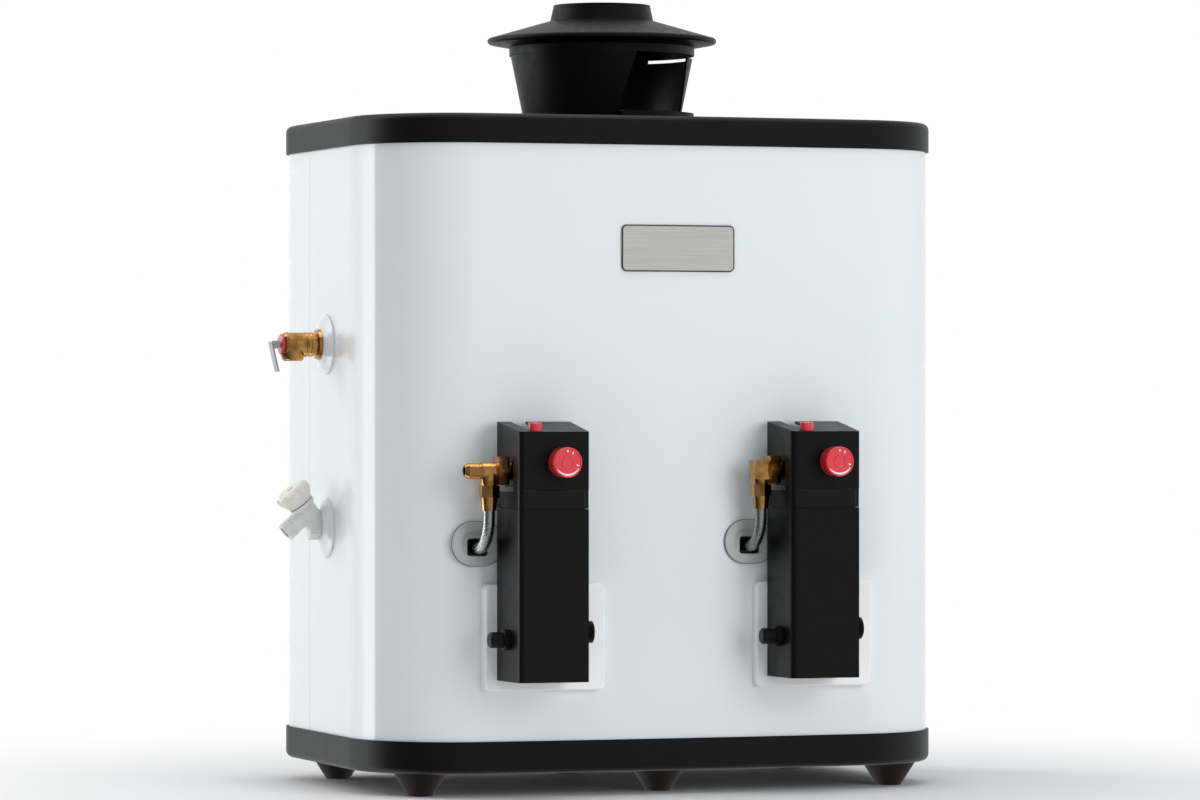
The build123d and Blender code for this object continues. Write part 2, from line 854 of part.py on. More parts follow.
collector_y = (casing_y + hood_y) / 2
collector_high = tank_high + collector_height
collar_radius = throat_radius - 2 * seat_gap
with BuildPart() as flue_collector:
    with BuildSketch(Plane((0, collector_y, tank_high))):
        RectangleRounded(collector_width, collector_depth, collector_corner)
    extrude(amount=collector_height)
    with BuildSketch(Plane((0, hood_y, collector_high))):
        Circle(collar_radius)
    extrude(amount=casing_top + base_ring_height - collector_high)
    with BuildSketch(Plane((0, collector_y, tank_high + collector_sheet))):
        RectangleRounded(
            collector_width - 2 * collector_sheet,
            collector_depth - 2 * collector_sheet,
            collector_corner - collector_sheet,
        )
    extrude(amount=collector_height - 2 * collector_sheet, mode=Mode.SUBTRACT)
    with BuildSketch(Plane((0, hood_y, collector_high - 2 * collector_sheet))):
        Circle(collar_radius - collector_sheet)
    extrude(amount=casing_top - tank_high, mode=Mode.SUBTRACT)
    with BuildSketch(Plane((0, casing_y, tank_high - 1))):
        with Locations((-module_x, 0), (module_x, 0)):
            Circle(flue_radius + seat_gap)
    extrude(amount=2 + collector_sheet, mode=Mode.SUBTRACT)
save(flue_collector, "flue_collector")

# Combustion chambers and pan burners
for name, axis_x in modules.items():
    with BuildPart() as chamber:
        with BuildSketch(Plane((axis_x, casing_y, tray_floor_z))):
            Circle(chamber_radius)
            Circle(chamber_radius - chamber_sheet, mode=Mode.SUBTRACT)
        extrude(amount=tank_low - tray_floor_z)
        with BuildSketch(Plane((axis_x, casing_y, chamber_floor_z))):
            Circle(chamber_radius - chamber_sheet / 2)
            Circle(air_hole_radius, mode=Mode.SUBTRACT)
        extrude(amount=chamber_sheet)
        with BuildSketch(front_plane(casing_y)):
            with Locations((axis_x, (door_slot_low + door_slot_high) / 2)):
                Rectangle(door_width - 2 * window_margin, door_slot_high - door_slot_low)
        extrude(amount=2 * chamber_radius, mode=Mode.SUBTRACT)
    save(chamber, f"chamber_{name}")

    mixer_low = venturi_z - venturi_radius - 2 * burner_sheet
    mixer_joint = burner_z + burner_dish * mixer_radius / burner_lip_radius
    inner_lip = burner_lip_radius - 2 * burner_sheet
    with BuildPart() as burner:
        add(
            turned(
                (axis_x, casing_y, 0),
                (0, 0, 1),
                [
                    (mixer_low, 0),
                    (mixer_low, mixer_radius),
                    (mixer_joint, mixer_radius),
                    (burner_z + burner_dish, burner_lip_radius),
                    (burner_z + burner_rim_low, burner_radius),
                    (burner_z + burner_rim_high, burner_radius),
                    (burner_z + burner_crown_foot, burner_lip_radius),
                    (burner_z + burner_crown, 0),
                ],
            )
        )
        with BuildSketch(Plane((axis_x, casing_y, chamber_floor_z + chamber_sheet))):
            with PolarLocations(burner_leg_circle, 3, start_angle=90):
                Circle(burner_leg_radius)
        extrude(amount=burner_z + burner_dish - chamber_floor_z - chamber_sheet)
        with BuildSketch(front_plane(casing_y)):
            with Locations((axis_x, venturi_z)):
                Circle(venturi_radius)
        extrude(amount=casing_y - venturi_mouth_y)
        add(
            turned(
                (axis_x, casing_y, 0),
                (0, 0, 1),
                [
                    (mixer_low + burner_sheet, 0),
                    (mixer_low + burner_sheet, mixer_radius - burner_sheet),
                    (mixer_joint + burner_sheet, mixer_radius - burner_sheet),
                    (burner_z + burner_dish + burner_sheet, inner_lip),
                    (burner_z + burner_rim_low + burner_sheet / 2, burner_radius - burner_sheet),
                    (burner_z + burner_rim_high - burner_sheet / 2, burner_radius - burner_sheet),
                    (burner_z + burner_crown_foot - burner_sheet, inner_lip),
                    (burner_z + burner_crown - burner_sheet, 0),
                ],
            ),
            mode=Mode.SUBTRACT,
        )
        with BuildSketch(front_plane(casing_y)):
            with Locations((axis_x, venturi_z)):
                Circle(venturi_radius - 2 * burner_sheet)
        extrude(amount=casing_y - venturi_mouth_y + 1, mode=Mode.SUBTRACT)
        with BuildSketch(Plane((axis_x, casing_y, burner_z + (burner_rim_low + burner_rim_high) / 2))):
            with PolarLocations(burner_radius, burner_ports):
                Rectangle(burner_port_depth, burner_port_width)
        extrude(amount=burner_port_height / 2, both=True, mode=Mode.SUBTRACT)
    save(burner, f"burner_{name}")

# Side connections: escutcheons on both side walls, and the hot and cold water nipples on the right.
side_places = [
    (-1, casing_y, relief_z, side_nipple_radius),
    (-1, casing_y, drain_z, side_nipple_radius),
    (1, water_y, hot_z, nipple_radius),
    (1, water_y, cold_z, nipple_radius),
]
with BuildPart() as escutcheons:
    for side, place_y, place_z, pipe_radius in side_places:
        hole_radius = pipe_radius + escutcheon_clearance
        dome = turned(
            (side * side_x, place_y, place_z),
            (side, 0, 0),
            [
                (0, escutcheon_radius),
                (escutcheon_rise / 4, escutcheon_radius),
                (escutcheon_rise * 0.7, escutcheon_radius * 0.8),
                (escutcheon_rise, escutcheon_radius * 0.55),
                (escutcheon_rise, hole_radius),
                (escutcheon_rise - body_sheet, hole_radius),
                (escutcheon_rise - body_sheet, escutcheon_radius * 0.55),
                (escutcheon_rise * 0.7 - body_sheet, escutcheon_radius * 0.78),
                (0, escutcheon_radius - 2 * body_sheet),
            ],
        )
        add(dome)
save(escutcheons, "escutcheons")

tank_port_x = module_x + boss_face
for name, nipple_z in (("hot_outlet_nipple", hot_z), ("cold_inlet_nipple", cold_z)):
    stub_start = side_x - tank_port_x + water_stub_start
    stub_end = side_x - tank_port_x + water_stub_reach
    with BuildPart() as nipple:
        add(
            turned(
                (tank_port_x, water_y, nipple_z),
                (1, 0, 0),
                [
                    (0, port_radius),
                    (0, nipple_radius - 0.5),
                    (stub_start, nipple_radius - 0.5),
                    (stub_start, nipple_radius),
                    (stub_end, nipple_radius),
                    (stub_end, port_radius),
                ],
            )
        )
    save(nipple, name)

# Relief valve: brass body, red cap, sprung stem and test lever. Reaches are measured from the wall.
relief_start = -(side_x - tank_port_x)
with BuildPart() as relief_valve_body:
    add(
        turned(
            (-side_x, casing_y, relief_z),
            (-1, 0, 0),
            [
                (relief_start, 0),
                (relief_start, side_nipple_radius),
                (escutcheon_rise + 0.2, side_nipple_radius),
                (escutcheon_rise + 0.2, relief_flange_radius),
                (relief_body_start - 3, relief_flange_radius - 1),
                (relief_body_start - 2, side_nipple_radius),
                (relief_body_start, side_nipple_radius),
                (relief_body_start + 1, relief_body_radius),
                (relief_body_end - 2, relief_body_radius),
                (relief_body_end, relief_body_radius - 1.5),
                (relief_body_end, 0),
            ],
        )
    )
    with BuildSketch(Plane((-side_x - relief_outlet_place, casing_y, relief_z), z_dir=(0, 0, -1))):
        Circle(relief_outlet_radius)
    extrude(amount=relief_outlet_drop)
    add(
        turned(
            (-side_x, casing_y, relief_z),
            (-1, 0, 0),
            [
                (relief_start - 1, 0),
                (relief_start - 1, relief_passage_radius),
                (relief_disc_start, relief_passage_radius),
                (relief_disc_start, relief_bore),
                (relief_body_end + 1, relief_bore),
                (relief_body_end + 1, 0),
            ],
        ),
        mode=Mode.SUBTRACT,
    )
    add(
        turned(
            (-side_x - relief_outlet_place, casing_y, relief_z),
            (0, 0, -1),
            [
                (0, 0),
                (0, relief_passage_radius),
                (relief_outlet_drop - relief_outlet_depth, relief_passage_radius),
                (relief_outlet_drop - relief_outlet_depth, relief_outlet_bore),
                (relief_outlet_drop + 1, relief_outlet_bore),
                (relief_outlet_drop + 1, 0),
            ],
        ),
        mode=Mode.SUBTRACT,
    )
save(relief_valve_body, "relief_valve_body")

with BuildPart() as relief_valve_cap:
    add(
        turned(
            (-side_x, casing_y, relief_z),
            (-1, 0, 0),
            [
                (relief_body_end, relief_stem_radius + running_clearance),
                (relief_body_end, relief_cap_radius - 0.8),
                (relief_body_end + 1.5, relief_cap_radius - 0.8),
                (relief_body_end + 1.5, relief_cap_radius),
                (relief_cap_end - 1, relief_cap_radius),
                (relief_cap_end, relief_cap_radius - 1.5),
                (relief_cap_end, relief_stem_radius + running_clearance),
            ],
        )
    )
save(relief_valve_cap, "relief_valve_cap")

pivot = (-side_x - relief_pivot_reach, casing_y, relief_z)
with BuildPart() as relief_valve_stem:
    add(
        turned(
            (-side_x, casing_y, relief_z),
            (-1, 0, 0),
            [
                (relief_disc_start, 0),
                (relief_disc_start, relief_disc_radius),
                (relief_disc_start + relief_disc_depth, relief_disc_radius),
                (relief_disc_start + relief_disc_depth, relief_stem_radius),
                (relief_pivot_reach, relief_stem_radius),
                (relief_pivot_reach, 0),
            ],
        )
    )
    with BuildSketch(Plane(pivot, x_dir=(1, 0, 0), z_dir=(0, -1, 0))):
        Circle(relief_eye_radius)
    extrude(amount=relief_eye_width / 2, both=True)
    with BuildSketch(Plane(pivot, x_dir=(1, 0, 0), z_dir=(0, -1, 0))):
        Circle(relief_pin_radius + running_clearance)
    extrude(amount=relief_eye_width, both=True, mode=Mode.SUBTRACT)
save(relief_valve_stem, "relief_valve_stem")

tilt = math.radians(relief_lever_tilt)
lever_down = (math.sin(tilt), 0, -math.cos(tilt))
lever_plane = Plane(pivot, x_dir=lever_down, z_dir=(0, 1, 0))
plate_face = relief_eye_radius + relief_lever_gap
ear_inner = relief_lever_width / 2 - relief_lever_sheet
with BuildPart() as relief_valve_lever:
    with BuildSketch(lever_plane):
        Circle(relief_ear_radius)
        with Locations((relief_ear_radius / 2, plate_face / 2)):
            Rectangle(relief_ear_radius, plate_face)
    extrude(amount=relief_lever_width / 2, both=True)
    with BuildSketch(lever_plane):
        with Locations((relief_lever_length / 2 - relief_ear_radius / 2, plate_face + relief_lever_sheet / 2)):
            Rectangle(relief_lever_length + relief_ear_radius, relief_lever_sheet)
    extrude(amount=relief_lever_width / 2, both=True)
    with BuildSketch(lever_plane):
        with Locations((0, -relief_ear_radius / 2 + plate_face / 2)):
            Rectangle(4 * relief_ear_radius, plate_face + relief_ear_radius)
    extrude(amount=ear_inner, both=True, mode=Mode.SUBTRACT)
    with BuildSketch(lever_plane):
        Circle(relief_pin_radius)
    extrude(amount=relief_lever_width / 2, both=True)
save(relief_valve_lever, "relief_valve_lever")

# Drain valve: moulded body with an angled bonnet and spout, a rising plug and a lobed knob.
drain_origin = (-side_x - drain_base_reach, casing_y, drain_z + drain_base_rise)
knob_turn = math.radians(drain_knob_angle)
spout_turn = math.radians(drain_spout_angle)
drain_up = (-math.cos(knob_turn), 0, math.sin(knob_turn))
drain_down = (-math.cos(spout_turn), 0, -math.sin(spout_turn))
drain_fork = (
    drain_origin[0] + drain_up[0] * drain_cross,
    casing_y,
    drain_origin[2] + drain_up[2] * drain_cross,
)
spout_outline = [(0, 0), (0, drain_spout_radius)]
thread_start = drain_spout_length - drain_thread_length
for ring in range(int(drain_thread_length / drain_thread_pitch)):
    ring_start = thread_start + ring * drain_thread_pitch
    spout_outline.append((ring_start, drain_spout_radius - drain_thread_depth))
    spout_outline.append((ring_start + drain_thread_pitch / 2, drain_spout_radius))
spout_outline.append((drain_spout_length, drain_spout_radius - drain_thread_depth))
spout_outline.append((drain_spout_length, 0))
drain_back_x = -side_x - escutcheon_rise - seat_gap
with BuildPart() as drain_valve_body:
    add(
        turned(
            drain_origin,
            drain_up,
            [
                (-drain_body_radius * 0.7, 0),
                (-drain_body_radius * 0.7, drain_body_radius * 0.6),
                (-drain_body_radius * 0.2, drain_body_radius),
                (drain_bonnet_start - 4, drain_body_radius),
                (drain_bonnet_start, drain_bonnet_radius),
                (drain_bonnet_end, drain_bonnet_radius),
                (drain_bonnet_end, 0),
            ],
        )
    )
    add(turned(drain_fork, drain_down, spout_outline))
    with BuildSketch(Plane((drain_back_x, casing_y, drain_z), z_dir=(-1, 0, 0))):
        hexagon(drain_hex_flats)
    extrude(amount=drain_body_radius)
    split(bisect_by=Plane((drain_back_x, casing_y, drain_z), z_dir=(-1, 0, 0)), keep=Keep.TOP)
    with BuildSketch(Plane((-tank_port_x, casing_y, drain_z), z_dir=(-1, 0, 0))):
        Circle(side_nipple_radius)
    extrude(amount=-drain_back_x - tank_port_x + 1)
    add(
        turned(
            drain_origin,
            drain_up,
            [
                (drain_inlet_start, 0),
                (drain_inlet_start, drain_passage_radius),
                (drain_chamber_start, drain_passage_radius),
                (drain_chamber_start, drain_chamber_radius),
                (drain_bonnet_start, drain_chamber_radius),
                (drain_bonnet_start, drain_stem_radius + running_clearance),
                (drain_bonnet_end + 1, drain_stem_radius + running_clearance),
                (drain_bonnet_end + 1, 0),
            ],
        ),
        mode=Mode.SUBTRACT,
    )
    add(
        turned(
            drain_fork,
            drain_down,
            [
                (0, 0),
                (0, drain_passage_radius),
                (drain_spout_length - drain_bore_depth, drain_passage_radius),
                (drain_spout_length - drain_bore_depth, drain_spout_bore),
                (drain_spout_length + 1, drain_spout_bore),
                (drain_spout_length + 1, 0),
            ],
        ),
        mode=Mode.SUBTRACT,
    )
    with BuildSketch(Plane((-tank_port_x, casing_y, drain_z), z_dir=(-1, 0, 0))):
        Circle(relief_passage_radius)
    extrude(amount=side_x + drain_base_reach - tank_port_x, mode=Mode.SUBTRACT)
save(drain_valve_body, "drain_valve_body")

knob_end = drain_knob_start + drain_knob_height
with BuildPart() as drain_valve_plug:
    add(
        turned(
            drain_origin,
            drain_up,
            [
                (drain_plug_start, 0),
                (drain_plug_start, drain_plug_radius),
                (drain_plug_start + drain_plug_depth, drain_plug_radius),
                (drain_plug_start + drain_plug_depth, drain_stem_radius),
                (knob_end - 2, drain_stem_radius),
                (knob_end - 2, 0),
            ],
        )
    )
save(drain_valve_plug, "drain_valve_plug")

knob_top = (
    drain_origin[0] + drain_up[0] * knob_end,
    casing_y,
    drain_origin[2] + drain_up[2] * knob_end,
)
with BuildPart() as drain_valve_knob:
    add(
        turned(
            drain_origin,
            drain_up,
            [
                (drain_knob_start, drain_stem_radius + running_clearance),
                (drain_knob_start, drain_knob_foot_radius),
                (drain_knob_start + drain_knob_height * 0.6, drain_knob_rim_radius),
                (knob_end - 3, drain_knob_rim_radius),
                (knob_end, drain_knob_rim_radius * 0.75),
                (knob_end, drain_stem_radius + running_clearance),
            ],
        )
    )
    with BuildSketch(Plane(knob_top, x_dir=(0, 1, 0), z_dir=drain_up)):
        with PolarLocations(drain_knob_rim_radius + drain_knob_flute_radius * 0.55, drain_knob_lobes):
            Circle(drain_knob_flute_radius)
    extrude(amount=-drain_knob_height, mode=Mode.SUBTRACT)
save(drain_valve_knob, "drain_valve_knob")

# Gas fittings: a tee with the flare inlet on the left module, an elbow on the right one.
def branch_outline() -> list:
    """Half section of a male flare branch, measured down from the fitting's axis."""
    tip_z = flare_nut_low + seat_gap
    return [
        (0, 0),
        (0, tee_body_radius),
        (fitting_z - flare_nut_high - 1, tee_body_radius),
        (fitting_z - flare_nut_high - 1, flare_radius),
        (fitting_z - tip_z - flare_tip, flare_radius),
        (fitting_z - tip_z, flare_tip_radius),
        (fitting_z - tip_z, 0),
    ]


valve_left = cover_left_of_axis + valve_width / 2
hex_right = valve_left + 8
for name, axis_x in (("gas_inlet_tee", -module_x), ("gas_elbow", module_x)):
    branch_x = axis_x - branch_left_of_axis
    with BuildPart() as fitting:
        with BuildSketch(side_plane(axis_x - hex_right)):
            with Locations((fitting_y, fitting_z)):
                Circle(fitting_neck_radius)
        extrude(amount=hex_right - valve_left)
        with BuildSketch(side_plane(axis_x - hex_right)):
            with Locations((fitting_y, fitting_z)):
                hexagon(fitting_hex_flats)
        extrude(amount=-fitting_hex_depth)
        with BuildSketch(side_plane(axis_x - hex_right - fitting_hex_depth)):
            with Locations((fitting_y, fitting_z)):
                Circle(tee_body_radius)
        extrude(amount=-(branch_left_of_axis + tee_body_radius - hex_right - fitting_hex_depth))
        if name == "gas_elbow":
            with BuildSketch(front_plane(fitting_y + tee_body_radius)):
                with Locations((branch_x, fitting_z)):
                    RectangleRounded(elbow_block, elbow_block, valve_corner)
            extrude(amount=2 * tee_body_radius)
        add(turned((branch_x, fitting_y, fitting_z), (0, 0, -1), branch_outline()))
        if name == "gas_inlet_tee":
            add(
                turned(
                    (axis_x - inlet_reach, fitting_y, fitting_z),
                    (1, 0, 0),
                    [
                        (0, 0),
                        (0, flare_tip_radius),
                        (flare_tip, flare_radius),
                        (flare_length, flare_radius),
                        (flare_length, 0),
                    ],
                )
            )
        with BuildSketch(side_plane(axis_x - valve_left + 1)):
            with Locations((fitting_y, fitting_z)):
                Circle(fitting_bore)
        bore_length = inlet_reach + 2 if name == "gas_inlet_tee" else branch_left_of_axis + fitting_bore
        extrude(amount=-(bore_length - valve_left + 1), mode=Mode.SUBTRACT)
        with BuildSketch(Plane((branch_x, fitting_y, fitting_z), z_dir=(0, 0, -1))):
            Circle(branch_bore)
        extrude(amount=fitting_z - flare_nut_low, mode=Mode.SUBTRACT)
    save(fitting, name)

with BuildPart() as flare_nuts:
    for axis_x in modules.values():
        nut_place = (axis_x - branch_left_of_axis, fitting_y)
        with BuildSketch(Plane((*nut_place, flare_nut_low))):
            hexagon(flare_nut_flats, 30)
        extrude(amount=flare_nut_high - flare_nut_low)
        add(
            turned(
                (*nut_place, sleeve_low),
                (0, 0, 1),
                [
                    (0, 0),
                    (0, sleeve_low_radius),
                    (flare_nut_low - sleeve_low, sleeve_top_radius),
                    (flare_nut_low - sleeve_low, 0),
                ],
            )
        )
        with BuildSketch(Plane((*nut_place, flare_nut_low))):
            Circle(flare_radius + flare_nut_clearance)
        extrude(amount=flare_nut_high - flare_nut_low, mode=Mode.SUBTRACT)
        with BuildSketch(Plane((*nut_place, sleeve_low))):
            Circle(hose_radius + flare_nut_clearance)
        extrude(amount=hose_grip, mode=Mode.SUBTRACT)
        with BuildSketch(Plane((*nut_place, sleeve_low))):
            Circle(fitting_bore)
        extrude(amount=flare_nut_high - sleeve_low, mode=Mode.SUBTRACT)
save(flare_nuts, "flare_nuts")

left_hose_x = -module_x - branch_left_of_axis
right_hose_x = module_x - branch_left_of_axis
hose_run_y = fitting_y + hose_bend + hose_inner_bend + hose_straight
hose_points = [
    (left_hose_x, fitting_y, sleeve_low + hose_grip),
    (left_hose_x, fitting_y, hose_z),
    (left_hose_x, hose_run_y, hose_z),
    (right_hose_x, hose_run_y, hose_z),
    (right_hose_x, fitting_y, hose_z),
    (right_hose_x, fitting_y, sleeve_low + hose_grip),
]
with BuildPart() as gas_hose:
    with BuildLine() as hose_route:
        FilletPolyline(*hose_points, radius=[hose_bend, hose_inner_bend, hose_inner_bend, hose_bend])
    with BuildSketch(Plane(hose_route.line @ 0, z_dir=hose_route.line % 0)):
        Circle(hose_radius)
    sweep()
save(gas_hose, "gas_hose")

for name, axis_x in modules.items():
    plate_place = (axis_x - branch_left_of_axis, hose_plate_z)
    opening_place = (axis_x - branch_left_of_axis, hose_plate_z - hose_opening_drop)
    local_y = panel_y(plate_place[0])
    with BuildPart() as hose_plate:
        with BuildSketch(front_plane(local_y + 20)):
            with Locations(plate_place):
                SlotOverall(hose_plate_width, hose_plate_height)
        extrude(amount=20 + hose_plate_thickness)
        fillet(hose_plate.edges().group_by(Axis.Y)[0], hose_plate_recess / 2)
        with BuildSketch(front_plane(local_y - hose_plate_thickness)):
            with Locations(plate_place):
                SlotOverall(hose_plate_width - 2 * hose_plate_rim, hose_plate_height - 2 * hose_plate_rim)
        extrude(amount=-hose_plate_recess, mode=Mode.SUBTRACT)
        with BuildSketch(front_plane(local_y - hose_plate_thickness - 1)):
            with Locations(opening_place):
                RectangleRounded(hose_opening_width, hose_opening_height, 3)
        extrude(amount=-40, mode=Mode.SUBTRACT)
        add(panel_skin, mode=Mode.SUBTRACT)
    save(hose_plate, f"{name}_hose_plate")

# Control modules
cover_top_slope = (cover_back_top - cover_front_top) / cover_depth
side_slope = (cover_back_width - cover_front_width) / 2 / cover_depth
valve_front_y = cover_front_y + cover_wall + seat_gap
valve_back_y = module_face_y - valve_back_gap
wall_reach = (cover_back_width + cover_front_width) / 4
door_front_y = cover_back_y + seat_gap


def cover_plan(middle_x: float, inset: float, back_y: float) -> Sketch:
    """Plan of a module cover: wider at the back, with its front left corner rounded."""
    back_half = cover_back_width / 2 - inset
    front_half = cover_front_width / 2 - inset
    with BuildSketch() as plan:
        with BuildLine():
            Polyline(
                (middle_x - back_half, back_y),
                (middle_x - front_half, cover_front_y + inset),
                (middle_x + front_half, cover_front_y + inset),
                (middle_x + back_half, back_y),
                close=True,
            )
        make_face()
        corners = plan.vertices().group_by(Axis.Y)[0].sort_by(Axis.X)
        fillet(corners[0], cover_round - inset)
    return plan.sketch


def cover_top(drop: float) -> Plane:
    """Sloping top of the upper cover, lowered by drop."""
    return Plane((0, cover_back_y, cover_back_top - drop), z_dir=(0, -cover_top_slope, 1))


def build_module(name: str, axis_x: float) -> None:
    """Control valve with its covers, knob, buttons, latch, door and gas tubes."""
    middle_x = axis_x - cover_left_of_axis
    knob_x = middle_x + knob_right_of_middle
    pilot_x = middle_x - pilot_left_of_middle
    pilot_y = cover_front_y + pilot_from_front
    outer_plan = cover_plan(middle_x, 0, cover_back_y)
    inner_plan = cover_plan(middle_x, cover_wall, cover_back_y + 1)
    upper_low = cover_split_z + cover_split_gap

    with BuildPart() as cover_space:
        with BuildSketch(Plane.XY.offset(upper_low - 1)):
            add(inner_plan)
        extrude(amount=cover_back_top - upper_low)
        split(bisect_by=cover_top(cover_wall), keep=Keep.BOTTOM)
    with BuildPart() as control_cover:
        with BuildSketch(Plane.XY.offset(upper_low)):
            add(outer_plan)
        extrude(amount=cover_back_top - upper_low)
        split(bisect_by=cover_top(0), keep=Keep.BOTTOM)
        add(cover_space.part, mode=Mode.SUBTRACT)
        band_left = middle_x - cover_front_width / 2 + cover_round
        band_right = middle_x + cover_front_width / 2
        with BuildSketch(front_plane(cover_front_y)):
            with Locations(((band_left + band_right) / 2, upper_low + band_recess_height / 2)):
                Rectangle(band_right - band_left + 1, band_recess_height)
        extrude(amount=-band_recess, mode=Mode.SUBTRACT)
        with BuildSketch(front_plane(cover_front_y)):
            with Locations((band_left + band_groove_width / 2, upper_low + band_recess_height / 2)):
                Rectangle(band_groove_width, band_recess_height)
        extrude(amount=-band_groove_depth, mode=Mode.SUBTRACT)
        with BuildSketch(side_plane(middle_x - cover_back_width / 2 - 1)):
            with Locations((cover_back_y + 1 - notch_depth / 2, (notch_low + notch_high) / 2)):
                Rectangle(notch_depth + 2, notch_high - notch_low)
        extrude(amount=cover_wall + 5, mode=Mode.SUBTRACT)
        with BuildSketch(Plane.XY.offset(pilot_low)):
            with Locations((pilot_x, pilot_y)):
                Circle(pilot_slot_width / 2)
            with Locations((pilot_x, (pilot_y + cover_back_y + 1) / 2)):
                Rectangle(pilot_slot_width, cover_back_y + 1 - pilot_y)
        extrude(amount=cover_back_top - pilot_low + 1, mode=Mode.SUBTRACT)
        with BuildSketch(front_plane(cover_front_y)):
            with Locations((knob_x, knob_z)):
                Circle(shaft_window_radius)
        extrude(amount=-cover_wall, mode=Mode.SUBTRACT)
        with BuildSketch(front_plane(cover_front_y)):
            with Locations(Location((knob_x - index_offset, knob_z - index_drop, 0), (0, 0, -index_tilt))):
                Rectangle(index_width, index_length)
        extrude(amount=-band_recess / 2, mode=Mode.SUBTRACT)
    save(control_cover, f"{name}_control_cover")

    with BuildPart() as tube_cover:
        with BuildSketch(Plane.XY.offset(cover_low)):
            add(outer_plan)
        extrude(amount=cover_split_z - cover_low)
        with BuildSketch(Plane.XY.offset(cover_low + cover_wall)):
            add(inner_plan)
        extrude(amount=cover_split_z - cover_low, mode=Mode.SUBTRACT)
        lip_inner = cover_plan(middle_x, cover_wall + seat_gap + cover_lip_sheet, cover_back_y + 1)
        with BuildSketch(Plane.XY.offset(cover_split_z - cover_lip_height)):
            add(cover_plan(middle_x, cover_wall / 2, cover_back_y))
            add(lip_inner, mode=Mode.SUBTRACT)
        extrude(amount=cover_lip_height)
        with BuildSketch(Plane.XY.offset(cover_split_z - cover_lip_height / 2)):
            add(cover_plan(middle_x, cover_wall + seat_gap, cover_back_y - cover_lip_height))
            add(lip_inner, mode=Mode.SUBTRACT)
        extrude(amount=1.5 * cover_lip_height)
        with BuildSketch(side_plane(middle_x - cover_back_width / 2 - 1)):
            with Locations((cover_middle_y, igniter_z)):
                Circle(igniter_barrel_radius + bolt_clearance)
        extrude(amount=cover_wall + 5, mode=Mode.SUBTRACT)
        with BuildSketch(side_plane(middle_x + cover_back_width / 2 + 1)):
            with Locations((cover_middle_y, latch_z)):
                Circle(latch_neck_radius + running_clearance)
        extrude(amount=-(cover_wall + 5), mode=Mode.SUBTRACT)
    save(tube_cover, f"{name}_tube_cover")

    with BuildPart() as control_valve:
        valve_y = (valve_front_y + valve_back_y) / 2
        with BuildSketch(Plane.XY.offset(valve_low)):
            with Locations((middle_x, valve_y)):
                RectangleRounded(valve_width, valve_back_y - valve_front_y, valve_corner)
        extrude(amount=valve_high - valve_low)
        with BuildSketch(front_plane(valve_back_y)):
            with Locations((middle_x, spud_z)):
                Circle(spud_radius)
        extrude(amount=-(casing_y - boss_face - valve_back_y))
        with BuildSketch(front_plane(casing_y - boss_face)):
            with Locations((middle_x, spud_z)):
                Circle(probe_radius)
        extrude(amount=-probe_length)
        with BuildSketch(front_plane(valve_front_y)):
            with Locations((knob_x, knob_z)):
                Circle(knob_shaft_radius + running_clearance)
        extrude(amount=-(knob_shaft_depth + 1), mode=Mode.SUBTRACT)
        with BuildSketch(Plane.XY.offset(valve_high)):
            with Locations((pilot_x, pilot_y)):
                Circle(pilot_stem_radius + running_clearance)
        pilot_bore = valve_high - pilot_low + pilot_stem_length + pilot_travel + 1
        extrude(amount=-pilot_bore, mode=Mode.SUBTRACT)
        with BuildSketch(side_plane(middle_x - valve_width / 2)):
            with Locations((fitting_y, fitting_z)):
                Circle(fitting_bore)
        extrude(amount=valve_width / 4, mode=Mode.SUBTRACT)
    save(control_valve, f"{name}_control_valve")

    knob_face_y = cover_front_y - knob_gap - knob_depth
    shaft_end = knob_depth + knob_gap + cover_wall + seat_gap + knob_shaft_depth
    with BuildPart() as temperature_knob:
        add(
            turned(
                (knob_x, knob_face_y, knob_z),
                (0, 1, 0),
                [
                    (knob_face_recess, 0),
                    (knob_face_recess, knob_radius - 2 * knob_rim),
                    (0, knob_radius - 1.6 * knob_rim),
                    (0, knob_radius - knob_rim),
                    (knob_rim, knob_radius - knob_rim / 4),
                    (knob_depth, knob_radius),
                    (knob_depth, knob_shaft_radius),
                    (shaft_end, knob_shaft_radius),
                    (shaft_end, 0),
                ],
            )
        )
    save(temperature_knob, f"{name}_temperature_knob")

    with BuildPart() as pilot_button:
        add(
            turned(
                (pilot_x, pilot_y, pilot_low),
                (0, 0, 1),
                [
                    (-pilot_stem_length, 0),
                    (-pilot_stem_length, pilot_stem_radius),
                    (0, pilot_stem_radius),
                    (0, pilot_radius),
                    (pilot_high - pilot_low - 1, pilot_radius),
                    (pilot_high - pilot_low, pilot_radius - 1),
                    (pilot_high - pilot_low, 0),
                ],
            )
        )
    save(pilot_button, f"{name}_pilot_button")

    wall_x = middle_x - wall_reach
    slack = side_slope * igniter_nut_flats / 2 + seat_gap
    barrel_end = igniter_barrel_length
    nut_start = cover_wall + slack
    with BuildPart() as igniter_body:
        add(
            turned(
                (wall_x, cover_middle_y, igniter_z),
                (1, 0, 0),
                [
                    (-igniter_collar_depth - slack, igniter_radius + running_clearance),
                    (-igniter_collar_depth - slack, igniter_collar_radius - 0.8),
                    (-igniter_collar_depth - slack + 0.8, igniter_collar_radius),
                    (-slack, igniter_collar_radius),
                    (-slack, igniter_barrel_radius),
                    (barrel_end, igniter_barrel_radius),
                    (barrel_end, 0),
                    (igniter_inside + igniter_travel + 1, 0),
                    (igniter_inside + igniter_travel + 1, igniter_radius + running_clearance),
                ],
            )
        )
        with BuildSketch(side_plane(wall_x + nut_start)):
            with Locations((cover_middle_y, igniter_z)):
                hexagon(igniter_nut_flats)
                Circle(igniter_barrel_radius + running_clearance, mode=Mode.SUBTRACT)
        extrude(amount=igniter_nut_height)
    save(igniter_body, f"{name}_igniter_body")

